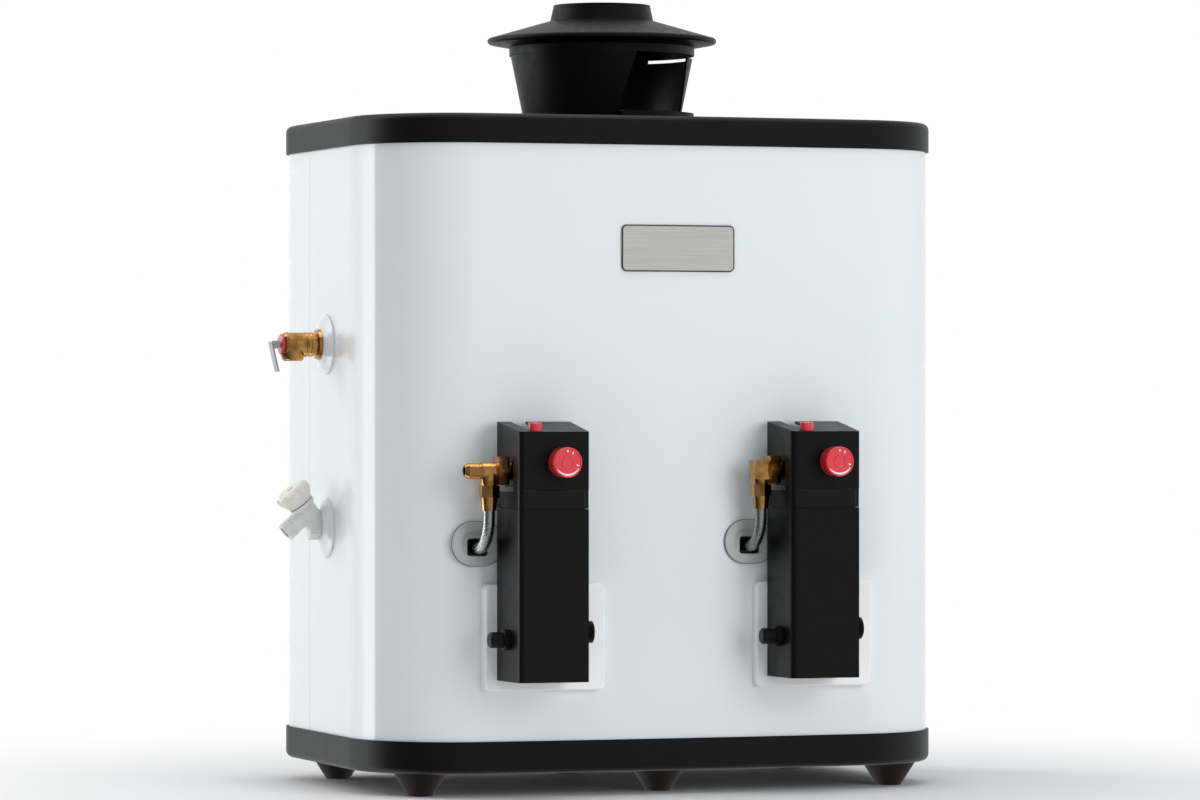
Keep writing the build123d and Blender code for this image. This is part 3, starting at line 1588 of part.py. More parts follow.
    with BuildPart() as igniter_button:
        add(
            turned(
                (wall_x, cover_middle_y, igniter_z),
                (1, 0, 0),
                [
                    (-igniter_reach, 0),
                    (-igniter_reach, igniter_radius - 1.5),
                    (1.5 - igniter_reach, igniter_radius),
                    (igniter_inside, igniter_radius),
                    (igniter_inside, 0),
                ],
            )
        )
    save(igniter_button, f"{name}_igniter_button")

    latch_wall_x = middle_x + wall_reach
    arm_x = latch_wall_x - latch_arm_inside - latch_arm_sheet
    tooth_front_y = cover_middle_y + latch_arm_length - latch_tooth_length
    with BuildPart() as cover_latch:
        add(
            turned(
                (latch_wall_x, cover_middle_y, latch_z),
                (1, 0, 0),
                [
                    (-latch_arm_inside - latch_arm_sheet, 0),
                    (-latch_arm_inside - latch_arm_sheet, latch_neck_radius),
                    (latch_neck_length, latch_neck_radius),
                    (latch_reach - 1.5, latch_flare_radius),
                    (latch_reach, latch_flare_radius),
                    (latch_reach, 0),
                ],
            )
        )
        with BuildSketch(side_plane(arm_x)):
            with Locations((cover_middle_y + latch_arm_length / 2, latch_z)):
                Rectangle(latch_arm_length, latch_arm_width)
            tooth_z = latch_z - latch_arm_width / 2 - latch_tooth_drop / 2
            with Locations((tooth_front_y + latch_tooth_length / 2, tooth_z)):
                Rectangle(latch_tooth_length, latch_tooth_drop)
        extrude(amount=latch_arm_sheet)
    save(cover_latch, f"{name}_cover_latch")

    lug_y = tooth_front_y - strike_gap - strike_lug
    bar_high = latch_z - latch_arm_width / 2 - latch_tooth_drop - strike_gap
    lug_high = latch_z - latch_arm_width / 2 - strike_gap
    door_place = (axis_x, (door_low + door_high) / 2)
    with BuildPart() as burner_door:
        with BuildSketch(front_plane(module_face_y + 20)):
            with Locations(door_place):
                RectangleRounded(door_width, door_high - door_low, door_corner)
        extrude(amount=module_face_y + 20 - door_front_y)
        fillet(burner_door.edges().group_by(Axis.Y)[0], door_edge_round)
        with BuildSketch(front_plane(door_front_y + door_sheet)):
            with Locations(door_place):
                RectangleRounded(
                    door_width - 2 * door_sheet,
                    door_high - door_low - 2 * door_sheet,
                    door_corner - door_sheet,
                )
        extrude(amount=-40, mode=Mode.SUBTRACT)
        with BuildSketch(front_plane(door_front_y - 1)):
            with Locations((knob_x, (door_slot_low + door_slot_high) / 2)):
                Rectangle(door_slot_width, door_slot_high - door_slot_low)
        extrude(amount=-(door_sheet + 2), mode=Mode.SUBTRACT)
        add(panel_skin, mode=Mode.SUBTRACT)
        with BuildSketch(side_plane(arm_x)):
            with Locations(((lug_y + door_front_y + door_sheet / 2) / 2, bar_high - strike_bar / 2)):
                Rectangle(door_front_y + door_sheet / 2 - lug_y, strike_bar)
            with Locations((lug_y + strike_lug / 2, (bar_high + lug_high) / 2)):
                Rectangle(strike_lug, lug_high - bar_high)
        extrude(amount=latch_arm_sheet)
    save(burner_door, f"{name}_burner_door")

    run_ends = [
        (axis_x, venturi_z, venturi_mouth_y, main_tube_radius),
        (axis_x + pilot_tube_right, pilot_run_z, casing_y - burner_radius - pilot_end_from_burner, pilot_tube_radius),
        (axis_x - sensor_tube_left, pilot_run_z, casing_y - burner_radius - pilot_end_from_burner, sensor_tube_radius),
    ]
    with BuildPart() as gas_tubes:
        for tube_x, run_z, end_y, tube_radius in run_ends:
            with BuildLine() as tube_route:
                FilletPolyline(
                    (tube_x, cover_middle_y, valve_low),
                    (tube_x, cover_middle_y, run_z),
                    (tube_x, end_y, run_z),
                    radius=tube_bend,
                )
            with BuildSketch(Plane(tube_route.line @ 0, z_dir=tube_route.line % 0)):
                Circle(tube_radius)
            sweep(path=tube_route.line)
    save(gas_tubes, f"{name}_gas_tubes")


for module_name, module_axis_x in modules.items():
    build_module(module_name, module_axis_x)
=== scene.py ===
import json
import math
from collections import namedtuple

import bmesh
import bpy
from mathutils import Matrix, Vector


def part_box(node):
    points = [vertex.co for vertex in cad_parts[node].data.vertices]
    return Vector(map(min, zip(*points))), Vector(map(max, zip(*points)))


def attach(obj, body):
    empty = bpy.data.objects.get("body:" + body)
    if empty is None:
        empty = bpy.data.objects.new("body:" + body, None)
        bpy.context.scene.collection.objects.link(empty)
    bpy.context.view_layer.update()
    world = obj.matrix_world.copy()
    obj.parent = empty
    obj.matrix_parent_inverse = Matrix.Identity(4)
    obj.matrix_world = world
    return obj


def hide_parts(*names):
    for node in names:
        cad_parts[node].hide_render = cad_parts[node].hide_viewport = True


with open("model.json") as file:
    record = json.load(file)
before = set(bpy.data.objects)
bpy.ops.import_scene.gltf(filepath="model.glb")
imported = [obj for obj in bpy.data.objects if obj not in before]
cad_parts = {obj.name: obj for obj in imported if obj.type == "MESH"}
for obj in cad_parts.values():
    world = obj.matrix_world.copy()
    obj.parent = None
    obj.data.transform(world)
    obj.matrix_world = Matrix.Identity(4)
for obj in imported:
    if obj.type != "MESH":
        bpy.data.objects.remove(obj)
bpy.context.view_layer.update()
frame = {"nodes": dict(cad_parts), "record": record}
nodes = frame["nodes"]
scene = bpy.context.scene

# Places repeated from the CAD for the detailed pieces; sizes are in metres, unless their name says MM
CASING_Y = 0.047
SIDE_X = 0.322
FITTING_Y = -0.19502
INLET_Z = 0.340
MODULES = {"left": -0.150, "right": 0.150}


# Materials; a noise mostly stays between these two
NOISE_LOW = 0.3
NOISE_HIGH = 0.7


class Graph:
    """A node tree with helpers that add nodes and join them."""

    def __init__(self, tree):
        self.tree = tree

    def node(self, kind, **values):
        """A new node; a value is one of its settings, or else goes to the input of that name."""
        made = self.tree.nodes.new(kind)
        for key, value in values.items():
            if hasattr(made, key):
                setattr(made, key, value)
            else:
                made.inputs[key].default_value = value
        return made

    def link(self, start, end):
        self.tree.links.new(start, end)

    def ramp(self, value, low, high, out_low=0.0, out_high=1.0, shape="LINEAR"):
        """Runs from out_low to out_high as value runs from low to high, and stays there outside."""
        made = self.node("ShaderNodeMapRange", interpolation_type=shape)
        made.inputs["From Min"].default_value = low
        made.inputs["From Max"].default_value = high
        made.inputs["To Min"].default_value = out_low
        made.inputs["To Max"].default_value = out_high
        self.link(value, made.inputs["Value"])
        return made.outputs["Result"]

    def combine(self, operation, first, second):
        """Maths on a socket and either another socket or a plain number."""
        made = self.node("ShaderNodeMath", operation=operation)
        self.link(first, made.inputs[0])
        if isinstance(second, bpy.types.NodeSocket):
            self.link(second, made.inputs[1])
        else:
            made.inputs[1].default_value = second
        return made.outputs[0]

    def mix_shaders(self, share, first, second):
        made = self.node("ShaderNodeMixShader")
        for place, socket in enumerate((share, first, second)):
            self.link(socket, made.inputs[place])
        return made.outputs[0]


class Shader(Graph):
    """A node material with one principled shader and helpers that dress it."""

    def __init__(self, name, color, roughness, metallic=0.0, coat=0.0, coat_roughness=0.05, specular=0.5):
        self.material = bpy.data.materials.new(name)
        self.material.use_nodes = True
        super().__init__(self.material.node_tree)
        self.base = self.tree.nodes["Principled BSDF"]
        self.color = (*color, 1.0)
        self.base.inputs["Base Color"].default_value = self.color
        self.base.inputs["Roughness"].default_value = roughness
        self.base.inputs["Metallic"].default_value = metallic
        self.base.inputs["Coat Weight"].default_value = coat
        self.base.inputs["Coat Roughness"].default_value = coat_roughness
        self.base.inputs["Specular IOR Level"].default_value = specular

    def place(self, scale=(1, 1, 1)):
        """Object coordinates in metres, stretched by scale."""
        coordinates = self.node("ShaderNodeTexCoord")
        mapping = self.node("ShaderNodeMapping")
        mapping.inputs["Scale"].default_value = scale
        self.link(coordinates.outputs["Object"], mapping.inputs["Vector"])
        return mapping.outputs["Vector"]

    def noise(self, scale, stretch=(1, 1, 1), detail=3.0, rough=0.5):
        made = self.node("ShaderNodeTexNoise", Scale=scale, Detail=detail, Roughness=rough)
        self.link(self.place(stretch), made.inputs["Vector"])
        return made.outputs["Fac"]

    def tint(self, value, low, high, other, amount):
        """Mixes up to amount of another colour in as value runs from low to high."""
        mix = self.node("ShaderNodeMix", data_type="RGBA")
        self.link(self.ramp(value, low, high, 0, amount), mix.inputs[0])
        mix.inputs[6].default_value = self.color
        mix.inputs[7].default_value = (*other, 1.0)
        self.link(mix.outputs[2], self.base.inputs["Base Color"])

    def rough(self, value, low, high):
        """Roughness that runs from low to high with a noise."""
        self.link(self.ramp(value, NOISE_LOW, NOISE_HIGH, low, high), self.base.inputs["Roughness"])

    def bump(self, value, depth, strength):
        made = self.node("ShaderNodeBump", Strength=strength, Distance=depth)
        self.link(value, made.inputs["Height"])
        self.link(made.outputs["Normal"], self.base.inputs["Normal"])


def enamel_white():
    made = Shader("enamel_white", (0.80, 0.845, 0.87), 0.4, coat=1.0, coat_roughness=0.02, specular=0.15)
    made.bump(made.noise(60.0, detail=2.0), depth=0.00002, strength=0.05)
    made.tint(made.noise(3.0), 0.35, 0.75, (0.83, 0.86, 0.875), amount=0.5)
    return made.material


def enamel_black():
    made = Shader("enamel_black", (0.0042, 0.0041, 0.0040), 0.42, specular=0.18)
    made.bump(made.noise(900.0, detail=2.0), depth=0.00005, strength=0.5)
    made.rough(made.noise(220.0), 0.4, 0.45)
    made.tint(made.noise(160.0), 0.45, 0.8, (0.0055, 0.0054, 0.0052), amount=0.6)
    return made.material


def cover_plastic():
    made = Shader("cover_plastic", (0.0034, 0.0033, 0.0032), 0.36, specular=0.2)
    made.bump(made.noise(1500.0), depth=0.00005, strength=0.6)
    made.rough(made.noise(60.0), 0.32, 0.42)
    return made.material


def band_plastic():
    made = Shader("band_gloss", (0.003, 0.003, 0.003), 0.22, specular=0.24)
    made.bump(made.noise(500.0), depth=0.00002, strength=0.3)
    return made.material


def rubber_brown():
    made = Shader("rubber_brown", (0.008, 0.0036, 0.0018), 0.6, specular=0.15)
    made.bump(made.noise(420.0, detail=4.0), depth=0.00015, strength=0.6)
    made.tint(made.noise(40.0), 0.4, 0.75, (0.020, 0.009, 0.004), amount=0.8)
    return made.material


# Scale of brushed steel's noise across and along its grain, and the shade of its darker lines
GRAIN_FINE = 900.0
GRAIN_LONG = 14.0
GRAIN_SHADE = 0.78


def brushed(name, color, along, roughness):
    """Rolled or brushed steel with its grain along X, Y or Z."""
    stretch = [GRAIN_FINE, GRAIN_FINE, GRAIN_FINE]
    stretch["XYZ".index(along)] = GRAIN_LONG
    made = Shader(name, color, roughness, metallic=1.0)
    grain = made.noise(1.0, stretch, detail=5.0, rough=0.65)
    made.bump(grain, depth=0.00004, strength=0.45)
    made.rough(grain, roughness - 0.08, roughness + 0.1)
    made.tint(grain, 0.4, 0.8, [part * GRAIN_SHADE for part in color], amount=0.7)
    return made.material


def brass():
    made = Shader("brass", (0.60, 0.32, 0.10), 0.18, metallic=1.0)
    made.bump(made.noise(380.0, detail=4.0), depth=0.0001, strength=0.5)
    made.rough(made.noise(120.0), 0.12, 0.26)
    made.tint(made.noise(90.0), 0.45, 0.7, (0.24, 0.095, 0.025), amount=0.85)
    return made.material


def chrome():
    made = Shader("chrome", (0.42, 0.42, 0.43), 0.12, metallic=1.0)
    made.rough(made.noise(180.0), 0.08, 0.18)
    made.bump(made.noise(300.0), depth=0.00003, strength=0.4)
    return made.material


def red_plastic():
    made = Shader("red_plastic", (0.72, 0.024, 0.036), 0.32, coat=0.9, coat_roughness=0.06)
    made.bump(made.noise(1200.0), depth=0.00003, strength=0.4)
    made.rough(made.noise(90.0), 0.26, 0.36)
    return made.material


def moulded(name, color, other, roughness=0.4, specular=0.5):
    """Cast or moulded surface with fine pores and soft patches of another shade."""
    made = Shader(name, color, roughness, specular=specular)
    made.bump(made.noise(700.0), depth=0.00006, strength=0.5)
    made.tint(made.noise(45.0), 0.4, 0.75, other, amount=0.6)
    made.rough(made.noise(110.0), roughness - 0.05, roughness + 0.07)
    return made.material


def grey_paint():
    made = Shader("grey_paint", (0.47, 0.51, 0.495), 0.4, coat=0.2, coat_roughness=0.2)
    made.bump(made.noise(500.0), depth=0.00005, strength=0.4)
    made.tint(made.noise(60.0), 0.4, 0.75, (0.52, 0.56, 0.55), amount=0.5)
    return made.material


def door_paint():
    made = Shader("door_paint", (0.96, 0.96, 0.96), 0.33, coat=0.35, coat_roughness=0.1)
    made.bump(made.noise(300.0), depth=0.00006, strength=0.4)
    made.tint(made.noise(20.0), 0.4, 0.8, (0.89, 0.895, 0.90), amount=0.4)
    return made.material


def glass_wool():
    made = Shader("glass_wool", (0.72, 0.58, 0.22), 0.9)
    fibres = made.noise(1.0, (500.0, 500.0, 60.0), detail=6.0, rough=0.7)
    made.bump(fibres, depth=0.002, strength=0.8)
    made.tint(fibres, 0.35, 0.7, (0.86, 0.76, 0.42), amount=0.9)
    return made.material


def zinc():
    made = Shader("zinc_steel", (0.55, 0.55, 0.53), 0.38, metallic=1.0)
    spangle = made.node("ShaderNodeTexVoronoi", Scale=220.0)
    made.link(made.place(), spangle.inputs["Vector"])
    made.rough(spangle.outputs["Distance"], 0.3, 0.48)
    made.tint(made.noise(70.0), 0.4, 0.7, (0.42, 0.43, 0.43), amount=0.6)
    made.bump(made.noise(420.0), depth=0.00005, strength=0.5)
    return made.material


# One material for each material slot of the record, then those of single parts
MATERIALS = {
    "white_enamel": enamel_white(),
    "black_enamel": enamel_black(),
    "brown_rubber": rubber_brown(),
    "steel_plate": brushed("steel_plate", (0.93, 0.90, 0.85), "X", 0.3),
    "grey_plate": grey_paint(),
    "black_cover": cover_plastic(),
    "red_plastic": red_plastic(),
    "brass": brass(),
    "chrome": chrome(),
    "pale_plastic": moulded("pale_plastic", (0.79, 0.80, 0.77), (0.72, 0.73, 0.70)),
    "cream_plastic": moulded("cream_plastic", (0.84, 0.81, 0.73), (0.77, 0.73, 0.64)),
    "zinc_steel": zinc(),
    "tank_steel": brushed("tank_steel", (0.36, 0.37, 0.39), "Z", 0.45),
    "glass_wool": glass_wool(),
    "anode_alloy": brushed("anode_alloy", (0.6, 0.6, 0.6), "Z", 0.4),
    "braided_hose": brushed("hose_steel", (0.5, 0.5, 0.49), "Z", 0.24),
}
DOOR_PAINT = door_paint()
HOOD_BLACK = moulded("hood_black", (0.0022, 0.0022, 0.0023), (0.0032, 0.0032, 0.0033), 0.44, specular=0.14)
VALVE_CASTING = moulded("valve_casting", (0.035, 0.033, 0.030), (0.018, 0.017, 0.016), 0.5)
# Painted shade: a dark finish for the bead that draws the shade along the hose plates' edges
PAINTED_EDGE_SHADE = moulded("painted_edge_shade", (0.10, 0.105, 0.10), (0.06, 0.062, 0.06), 0.55)
# Painted shade: a very dark metal finish for the bead that draws the dark line along the nameplate's edge
PAINTED_RIM_SHADE = brushed("painted_rim_shade", (0.105, 0.10, 0.092), "X", 0.3)
BAND_GLOSS = band_plastic()
DIAL_WHITE = moulded("dial_white", (0.82, 0.83, 0.84), (0.74, 0.75, 0.77), 0.35)


# CAD nodes: their materials and small bevels
HOOD_NODES = ("hood_brim", "hood_front_plate", "hood_rear_plate", "hood_base_ring")
BEVEL_SEGMENTS = 2
BEVEL_ANGLE = math.radians(40)
BEVELS = {
    "nameplate": 0.0009,
    "hood_front_plate": 0.0004,
    "hood_rear_plate": 0.0004,
    "hood_base_ring": 0.0008,
    "gas_inlet_tee": 0.0005,
    "gas_elbow": 0.0005,
    "flare_nuts": 0.0006,
    "relief_valve_body": 0.0005,
    "relief_valve_cap": 0.0004,
    "relief_valve_lever": 0.0004,
    "drain_valve_body": 0.0006,
    "drain_valve_knob": 0.0009,
    "escutcheons": 0.0003,
}
MODULE_BEVELS = {
    "hose_plate": 0.0004,
    "control_cover": 0.0008,
    "tube_cover": 0.0007,
    "igniter_body": 0.0005,
    "igniter_button": 0.0006,
    "cover_latch": 0.0005,
    "pilot_button": 0.0004,
}
for side in MODULES:
    for part, width in MODULE_BEVELS.items():
        BEVELS[f"{side}_{part}"] = width


def finish_of(name, slot):
    """Material of a CAD node: that of its slot, apart from a few parts with their own."""
    if name.endswith("burner_door"):
        return DOOR_PAINT
    if name.endswith("control_valve"):
        return VALVE_CASTING
    if name in HOOD_NODES:
        return HOOD_BLACK
    return MATERIALS[slot]


for subpart in frame["record"]["subparts"]:
    name = subpart["node"]
    thing = nodes[name]
    thing.data.materials.clear()
    thing.data.materials.append(finish_of(name, subpart["material_slot"]))
    if name in BEVELS:
        rounding = thing.modifiers.new("edges", "BEVEL")
        rounding.width = BEVELS[name]
        rounding.segments = BEVEL_SEGMENTS
        rounding.limit_method = "ANGLE"
        rounding.angle_limit = BEVEL_ANGLE


# Detailed pieces; points nearer than this become one
WELD = 1e-6


def mesh_piece(name, mesh, material, smooth=True):
    """Piece from a bmesh with one material."""
    data = bpy.data.meshes.new(name)
    mesh.to_mesh(data)
    mesh.free()
    if smooth:
        data.shade_smooth()
    data.materials.append(material)
    piece = bpy.data.objects.new(name, data)
    scene.collection.objects.link(piece)
    return piece


def grid_piece(name, rows, material, closed=True, smooth=True):
    """Piece over rows of points; each row joins the next, and closed rows wrap round."""
    mesh = bmesh.new()
    made = [[mesh.verts.new(point) for point in row] for row in rows]
    width = len(rows[0])
    for low, high in zip(made, made[1:]):
        for place in range(width if closed else width - 1):
            after = (place + 1) % width
            mesh.faces.new((low[place], low[after], high[after], high[place]))
    bmesh.ops.remove_doubles(mesh, verts=mesh.verts, dist=WELD)
    bmesh.ops.recalc_face_normals(mesh, faces=mesh.faces)
    return mesh_piece(name, mesh, material, smooth)


def full_turn(count):
    """Angles of a full turn in equal steps."""
    return [math.tau * turn / count for turn in range(count)]


# Gas hose: its fittings and plates hold it all the way, so it follows the arcs of the CAD hose
HOSE_TOP = 0.305
HOSE_RUN_Z = 0.2595
HOSE_RUN_Y = -0.12902
HOSE_LEFT = -0.220
HOSE_RIGHT = 0.080
HOSE_BEND = 0.034
HOSE_INNER_BEND = 0.027
HOSE_STEP = 0.0004
BEND_LEAST_STEPS = 8
CORE_STEP = 8
CORE_SIDES = 20
BRAID_RADIUS = 0.00602
BRAID_WEAVE = 0.00014
BRAID_STRANDS = 12
BRAID_PITCH = 0.040
STRAND_HALF = 0.00072
STRAND_RISE = 0.00012

# How far along the route a point lies, its place, and two axes across the route there
RoutePoint = namedtuple("RoutePoint", "distance middle across up")


def straight_run(start, end):
    count = max(1, int((end - start).length / HOSE_STEP))
    return [start.lerp(end, place / count) for place in range(1, count + 1)]


def quarter_bend(centre, into, out, radius):
    """Points of a quarter turn from the direction into to the direction out."""
    count = max(BEND_LEAST_STEPS, int(radius * math.pi / 2 / HOSE_STEP))
    angles = [math.pi / 2 * turn / count for turn in range(1, count + 1)]
    return [
        centre - out * radius * math.cos(angle) + into * radius * math.sin(angle)
        for angle in angles
    ]


def rounded_route(corners, radii):
    """Points along straight runs joined by quarter bends."""
    points = [corners[0]]
    for before, corner, after, radius in zip(corners, corners[1:], corners[2:], radii):
        into = (corner - before).normalized()
        out = (after - corner).normalized()
        start = corner - into * radius
        points.extend(straight_run(points[-1], start))
        points.extend(quarter_bend(start + out * radius, into, out, radius))
    points.extend(straight_run(points[-1], corners[-1]))
    return points


def route_axes(points):
    """Route points whose axes don't twist along the way."""
    route = []
    across = Vector((1, 0, 0))
    distance = 0.0
    for place, point in enumerate(points):
        before = points[max(place - 1, 0)]
        after = points[min(place + 1, len(points) - 1)]
        along = (after - before).normalized()
        across = (across - along * across.dot(along)).normalized()
        if place:
            distance += (point - before).length
        route.append(RoutePoint(distance, point, across, along.cross(across)))
    return route


def around(here, radius, angle):
    return here.middle + (here.across * math.cos(angle) + here.up * math.sin(angle)) * radius


def strand_row(here, strand, family):
    """Two edges and the crest of one strand; family is 1 or -1, the way it winds."""
    phase = math.tau * here.distance / BRAID_PITCH
    angle = math.tau * strand / BRAID_STRANDS + family * phase
    radius = BRAID_RADIUS + family * BRAID_WEAVE * math.cos(BRAID_STRANDS * phase)
    half = STRAND_HALF / BRAID_RADIUS * math.sqrt(2)
    return [
        around(here, radius - STRAND_RISE, angle - half),
        around(here, radius + STRAND_RISE / 2, angle),
        around(here, radius - STRAND_RISE, angle + half),
    ]


hose_corners = [
    Vector((HOSE_LEFT, FITTING_Y, HOSE_TOP)),
    Vector((HOSE_LEFT, FITTING_Y, HOSE_RUN_Z)),
    Vector((HOSE_LEFT, HOSE_RUN_Y, HOSE_RUN_Z)),
    Vector((HOSE_RIGHT, HOSE_RUN_Y, HOSE_RUN_Z)),
    Vector((HOSE_RIGHT, FITTING_Y, HOSE_RUN_Z)),
    Vector((HOSE_RIGHT, FITTING_Y, HOSE_TOP)),
]
hose_bends = (HOSE_BEND, HOSE_INNER_BEND, HOSE_INNER_BEND, HOSE_BEND)
route = route_axes(rounded_route(hose_corners, hose_bends))
core_radius = BRAID_RADIUS - 2 * BRAID_WEAVE
core_rows = [
    [around(here, core_radius, angle) for angle in full_turn(CORE_SIDES)]
    for here in route[::CORE_STEP] + [route[-1]]
]
hose_core = grid_piece("hose_core", core_rows, MATERIALS["tank_steel"])
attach(hose_core, "heater")
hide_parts("gas_hose")

braid_mesh = bmesh.new()
for family in (1, -1):
    for strand in range(BRAID_STRANDS):
        last = None
        for here in route:
            row = [braid_mesh.verts.new(point) for point in strand_row(here, strand, family)]
            if last:
                for place in range(2):
                    braid_mesh.faces.new((last[place], last[place + 1], row[place + 1], row[place]))
            last = row
hose_braid = mesh_piece("hose_braid", braid_mesh, MATERIALS["braided_hose"])
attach(hose_braid, "heater")
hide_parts("gas_hose")


# Thread on the open flare end of the gas inlet
THREAD_START = -0.2300
THREAD_END = -0.2428
THREAD_PITCH = 0.0016
THREAD_RADIUS = 0.00802
THREAD_SUNK = 0.00006
THREAD_RISE = 0.00032
THREAD_FOOT_HALF = 0.00055
THREAD_CREST_HALF = 0.00014
THREAD_TURN_STEPS = 36
THREAD_FADE_STEPS = 20
# Place along the axis and share of the rise, across the thread
THREAD_SECTION = [
    (-THREAD_FOOT_HALF, 0.0),
    (-THREAD_CREST_HALF, 1.0),
    (THREAD_CREST_HALF, 1.0),
    (THREAD_FOOT_HALF, 0.0),
]

thread_rows = []
thread_steps = int(abs(THREAD_END - THREAD_START) / THREAD_PITCH * THREAD_TURN_STEPS)
for step in range(thread_steps + 1):
    angle = math.tau * step / THREAD_TURN_STEPS
    x = THREAD_START + (THREAD_END - THREAD_START) * step / thread_steps
    fade = min(1.0, step / THREAD_FADE_STEPS, (thread_steps - step) / THREAD_FADE_STEPS)
    row = []
    for shift, rise in THREAD_SECTION:
        reach = THREAD_RADIUS - THREAD_SUNK + THREAD_RISE * rise * fade
        row.append((x + shift, FITTING_Y + reach * math.cos(angle), INLET_Z + reach * math.sin(angle)))
    thread_rows.append(row)
inlet_thread = grid_piece("inlet_thread", thread_rows, MATERIALS["brass"], closed=False)
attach(inlet_thread, "heater")


# Hose plates and nameplate: round beads along their rounded outlines; the dark bead just behind each hose
# plate's edge and the dark bead round the nameplate are painted shade along those edges
PLATE_CORNER = 0.0225
# Painted shade bead behind each hose plate: how far behind its face it lies, and its radius
SHADE_BEAD_BEHIND = 0.0016
SHADE_BEAD_RADIUS = 0.0006
DISH_INSET = 0.0095
LIP_BEHIND = 0.0004
LIP_BEAD = 0.0004
NAMEPLATE_CORNER = 0.005
# Painted shade bead round the nameplate: how far behind its face, how far in from its edge, and its radius
RIM_BEHIND = 0.0006
RIM_INSET = 0.0003
RIM_BEAD = 0.0009
CORNER_STEPS = 12
BEAD_SIDES = 8


def outline_bead(name, node, behind, inset, corner, bead, material):
    """Bead round a node that faces the front: behind its face, inset from its edge, bead in radius."""
    low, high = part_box(node)
    middle_x = (low[0] + high[0]) / 2
    middle_z = (low[2] + high[2]) / 2
    corner_x = (high[0] - low[0]) / 2 - inset - corner
    corner_z = (high[2] - low[2]) / 2 - inset - corner
    path = []
    for quarter, (side_x, side_z) in enumerate(((1, 1), (-1, 1), (-1, -1), (1, -1))):
        for place in range(CORNER_STEPS + 1):
            angle = math.pi / 2 * (quarter + place / CORNER_STEPS)
            path.append((
                middle_x + side_x * corner_x + corner * math.cos(angle),
                middle_z + side_z * corner_z + corner * math.sin(angle),
                angle,
            ))
    rows = []
    for turn in range(BEAD_SIDES + 1):
        round_angle = math.tau * turn / BEAD_SIDES
        y = low[1] + behind + bead * math.sin(round_angle)
        out = bead * math.cos(round_angle)
        rows.append([(x + out * math.cos(angle), y, z + out * math.sin(angle)) for x, z, angle in path])
    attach(grid_piece(name, rows, material), "heater")


for side in MODULES:
    plate = f"{side}_hose_plate"
    # Painted shade: a dark bead just behind the plate's outline, standing in for the shade of its edge
    outline_bead(f"{side}_plate_painted_shade", plate, SHADE_BEAD_BEHIND, 0.0, PLATE_CORNER, SHADE_BEAD_RADIUS, PAINTED_EDGE_SHADE)
    outline_bead(f"{side}_plate_lip", plate, LIP_BEHIND, DISH_INSET, PLATE_CORNER - DISH_INSET, LIP_BEAD,
                 MATERIALS["grey_plate"])
# Painted shade: a thin dark bead round the nameplate, standing in for the shade along its edge
outline_bead("nameplate_painted_shade", "nameplate", RIM_BEHIND, RIM_INSET, NAMEPLATE_CORNER, RIM_BEAD, PAINTED_RIM_SHADE)


# Relief valve: turned rings round the body and a rounded shoulder round its outlet
RELIEF_Z = 0.472
RELIEF_OUTLET_REACH = 0.0372
RELIEF_OUTLET_X = -SIDE_X - RELIEF_OUTLET_REACH
RELIEF_SIDES = 48
RING_REACHES = (0.0185, 0.0235, 0.0440)
RING_FOOT = 0.0126
RING_CREST = 0.0132
RING_FOOT_HALF = 0.0012
RING_CREST_HALF = 0.0006
# Drop below the body's axis and radius there
SHOULDER_PROFILE = [
    (0.0040, 0.0128),
    (0.0085, 0.0130),
    (0.0120, 0.0127),
    (0.0148, 0.0119),
    (0.0165, 0.0108),
    (0.0173, 0.0096),
    (0.0173, 0.0074),
    (0.0120, 0.0073),
]

for number, middle in enumerate(RING_REACHES):
    profile = [
        (middle - RING_FOOT_HALF, RING_FOOT),
        (middle - RING_CREST_HALF, RING_CREST),
        (middle + RING_CREST_HALF, RING_CREST),
        (middle + RING_FOOT_HALF, RING_FOOT),
    ]
    rows = []
    for reach, radius in profile:
        rows.append([
            (-SIDE_X - reach, CASING_Y + radius * math.cos(angle), RELIEF_Z + radius * math.sin(angle))
            for angle in full_turn(RELIEF_SIDES)
        ])
    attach(grid_piece(f"relief_ring_{number}", rows, MATERIALS["brass"]), "heater")

rows = []
for drop, radius in SHOULDER_PROFILE:
    rows.append([
        (RELIEF_OUTLET_X + radius * math.cos(angle), CASING_Y + radius * math.sin(angle), RELIEF_Z - drop)
        for angle in full_turn(RELIEF_SIDES)
    ])
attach(grid_piece("relief_shoulder", rows, MATERIALS["brass"]), "heater")


# Glossy bare band across the foot of each control cover
COVER_ASIDE = 0.013
COVER_FRONT_Y = -0.23602
COVER_HALF = 0.031
COVER_ROUND = 0.0065
BAND_LOW = 0.3016
BAND_HIGH = 0.3202
BAND_RISE = 0.00015
BAND_SLOPE = 0.0002
# How far the band runs round the cover's two front edges, and its steps there, in degrees
BAND_TURN = 78
BAND_STEP = 6
# Height, and how far the band stands out there
BAND_SECTION = [
    (BAND_LOW, 0.0),
    (BAND_LOW + BAND_SLOPE, BAND_RISE),
    (BAND_HIGH - BAND_SLOPE, BAND_RISE),
    (BAND_HIGH, 0.0),
]

turns = range(0, BAND_TURN + 1, BAND_STEP)
round_places = [(-1, degrees) for degrees in reversed(turns)] + [(1, degrees) for degrees in turns]
for side, module_middle in MODULES.items():
    middle = module_middle - COVER_ASIDE
    rows = []
    for edge, degrees in round_places:
        angle = math.radians(degrees)
        row = []
        for z, rise in BAND_SECTION:
            reach = COVER_ROUND + rise
            row.append((
                middle + edge * (COVER_HALF + reach * math.sin(angle)),
                COVER_FRONT_Y + COVER_ROUND - reach * math.cos(angle),
                z,
            ))
        rows.append(row)
    band = grid_piece(f"{side}_cover_band", rows, BAND_GLOSS, closed=False, smooth=False)
    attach(band, "heater")


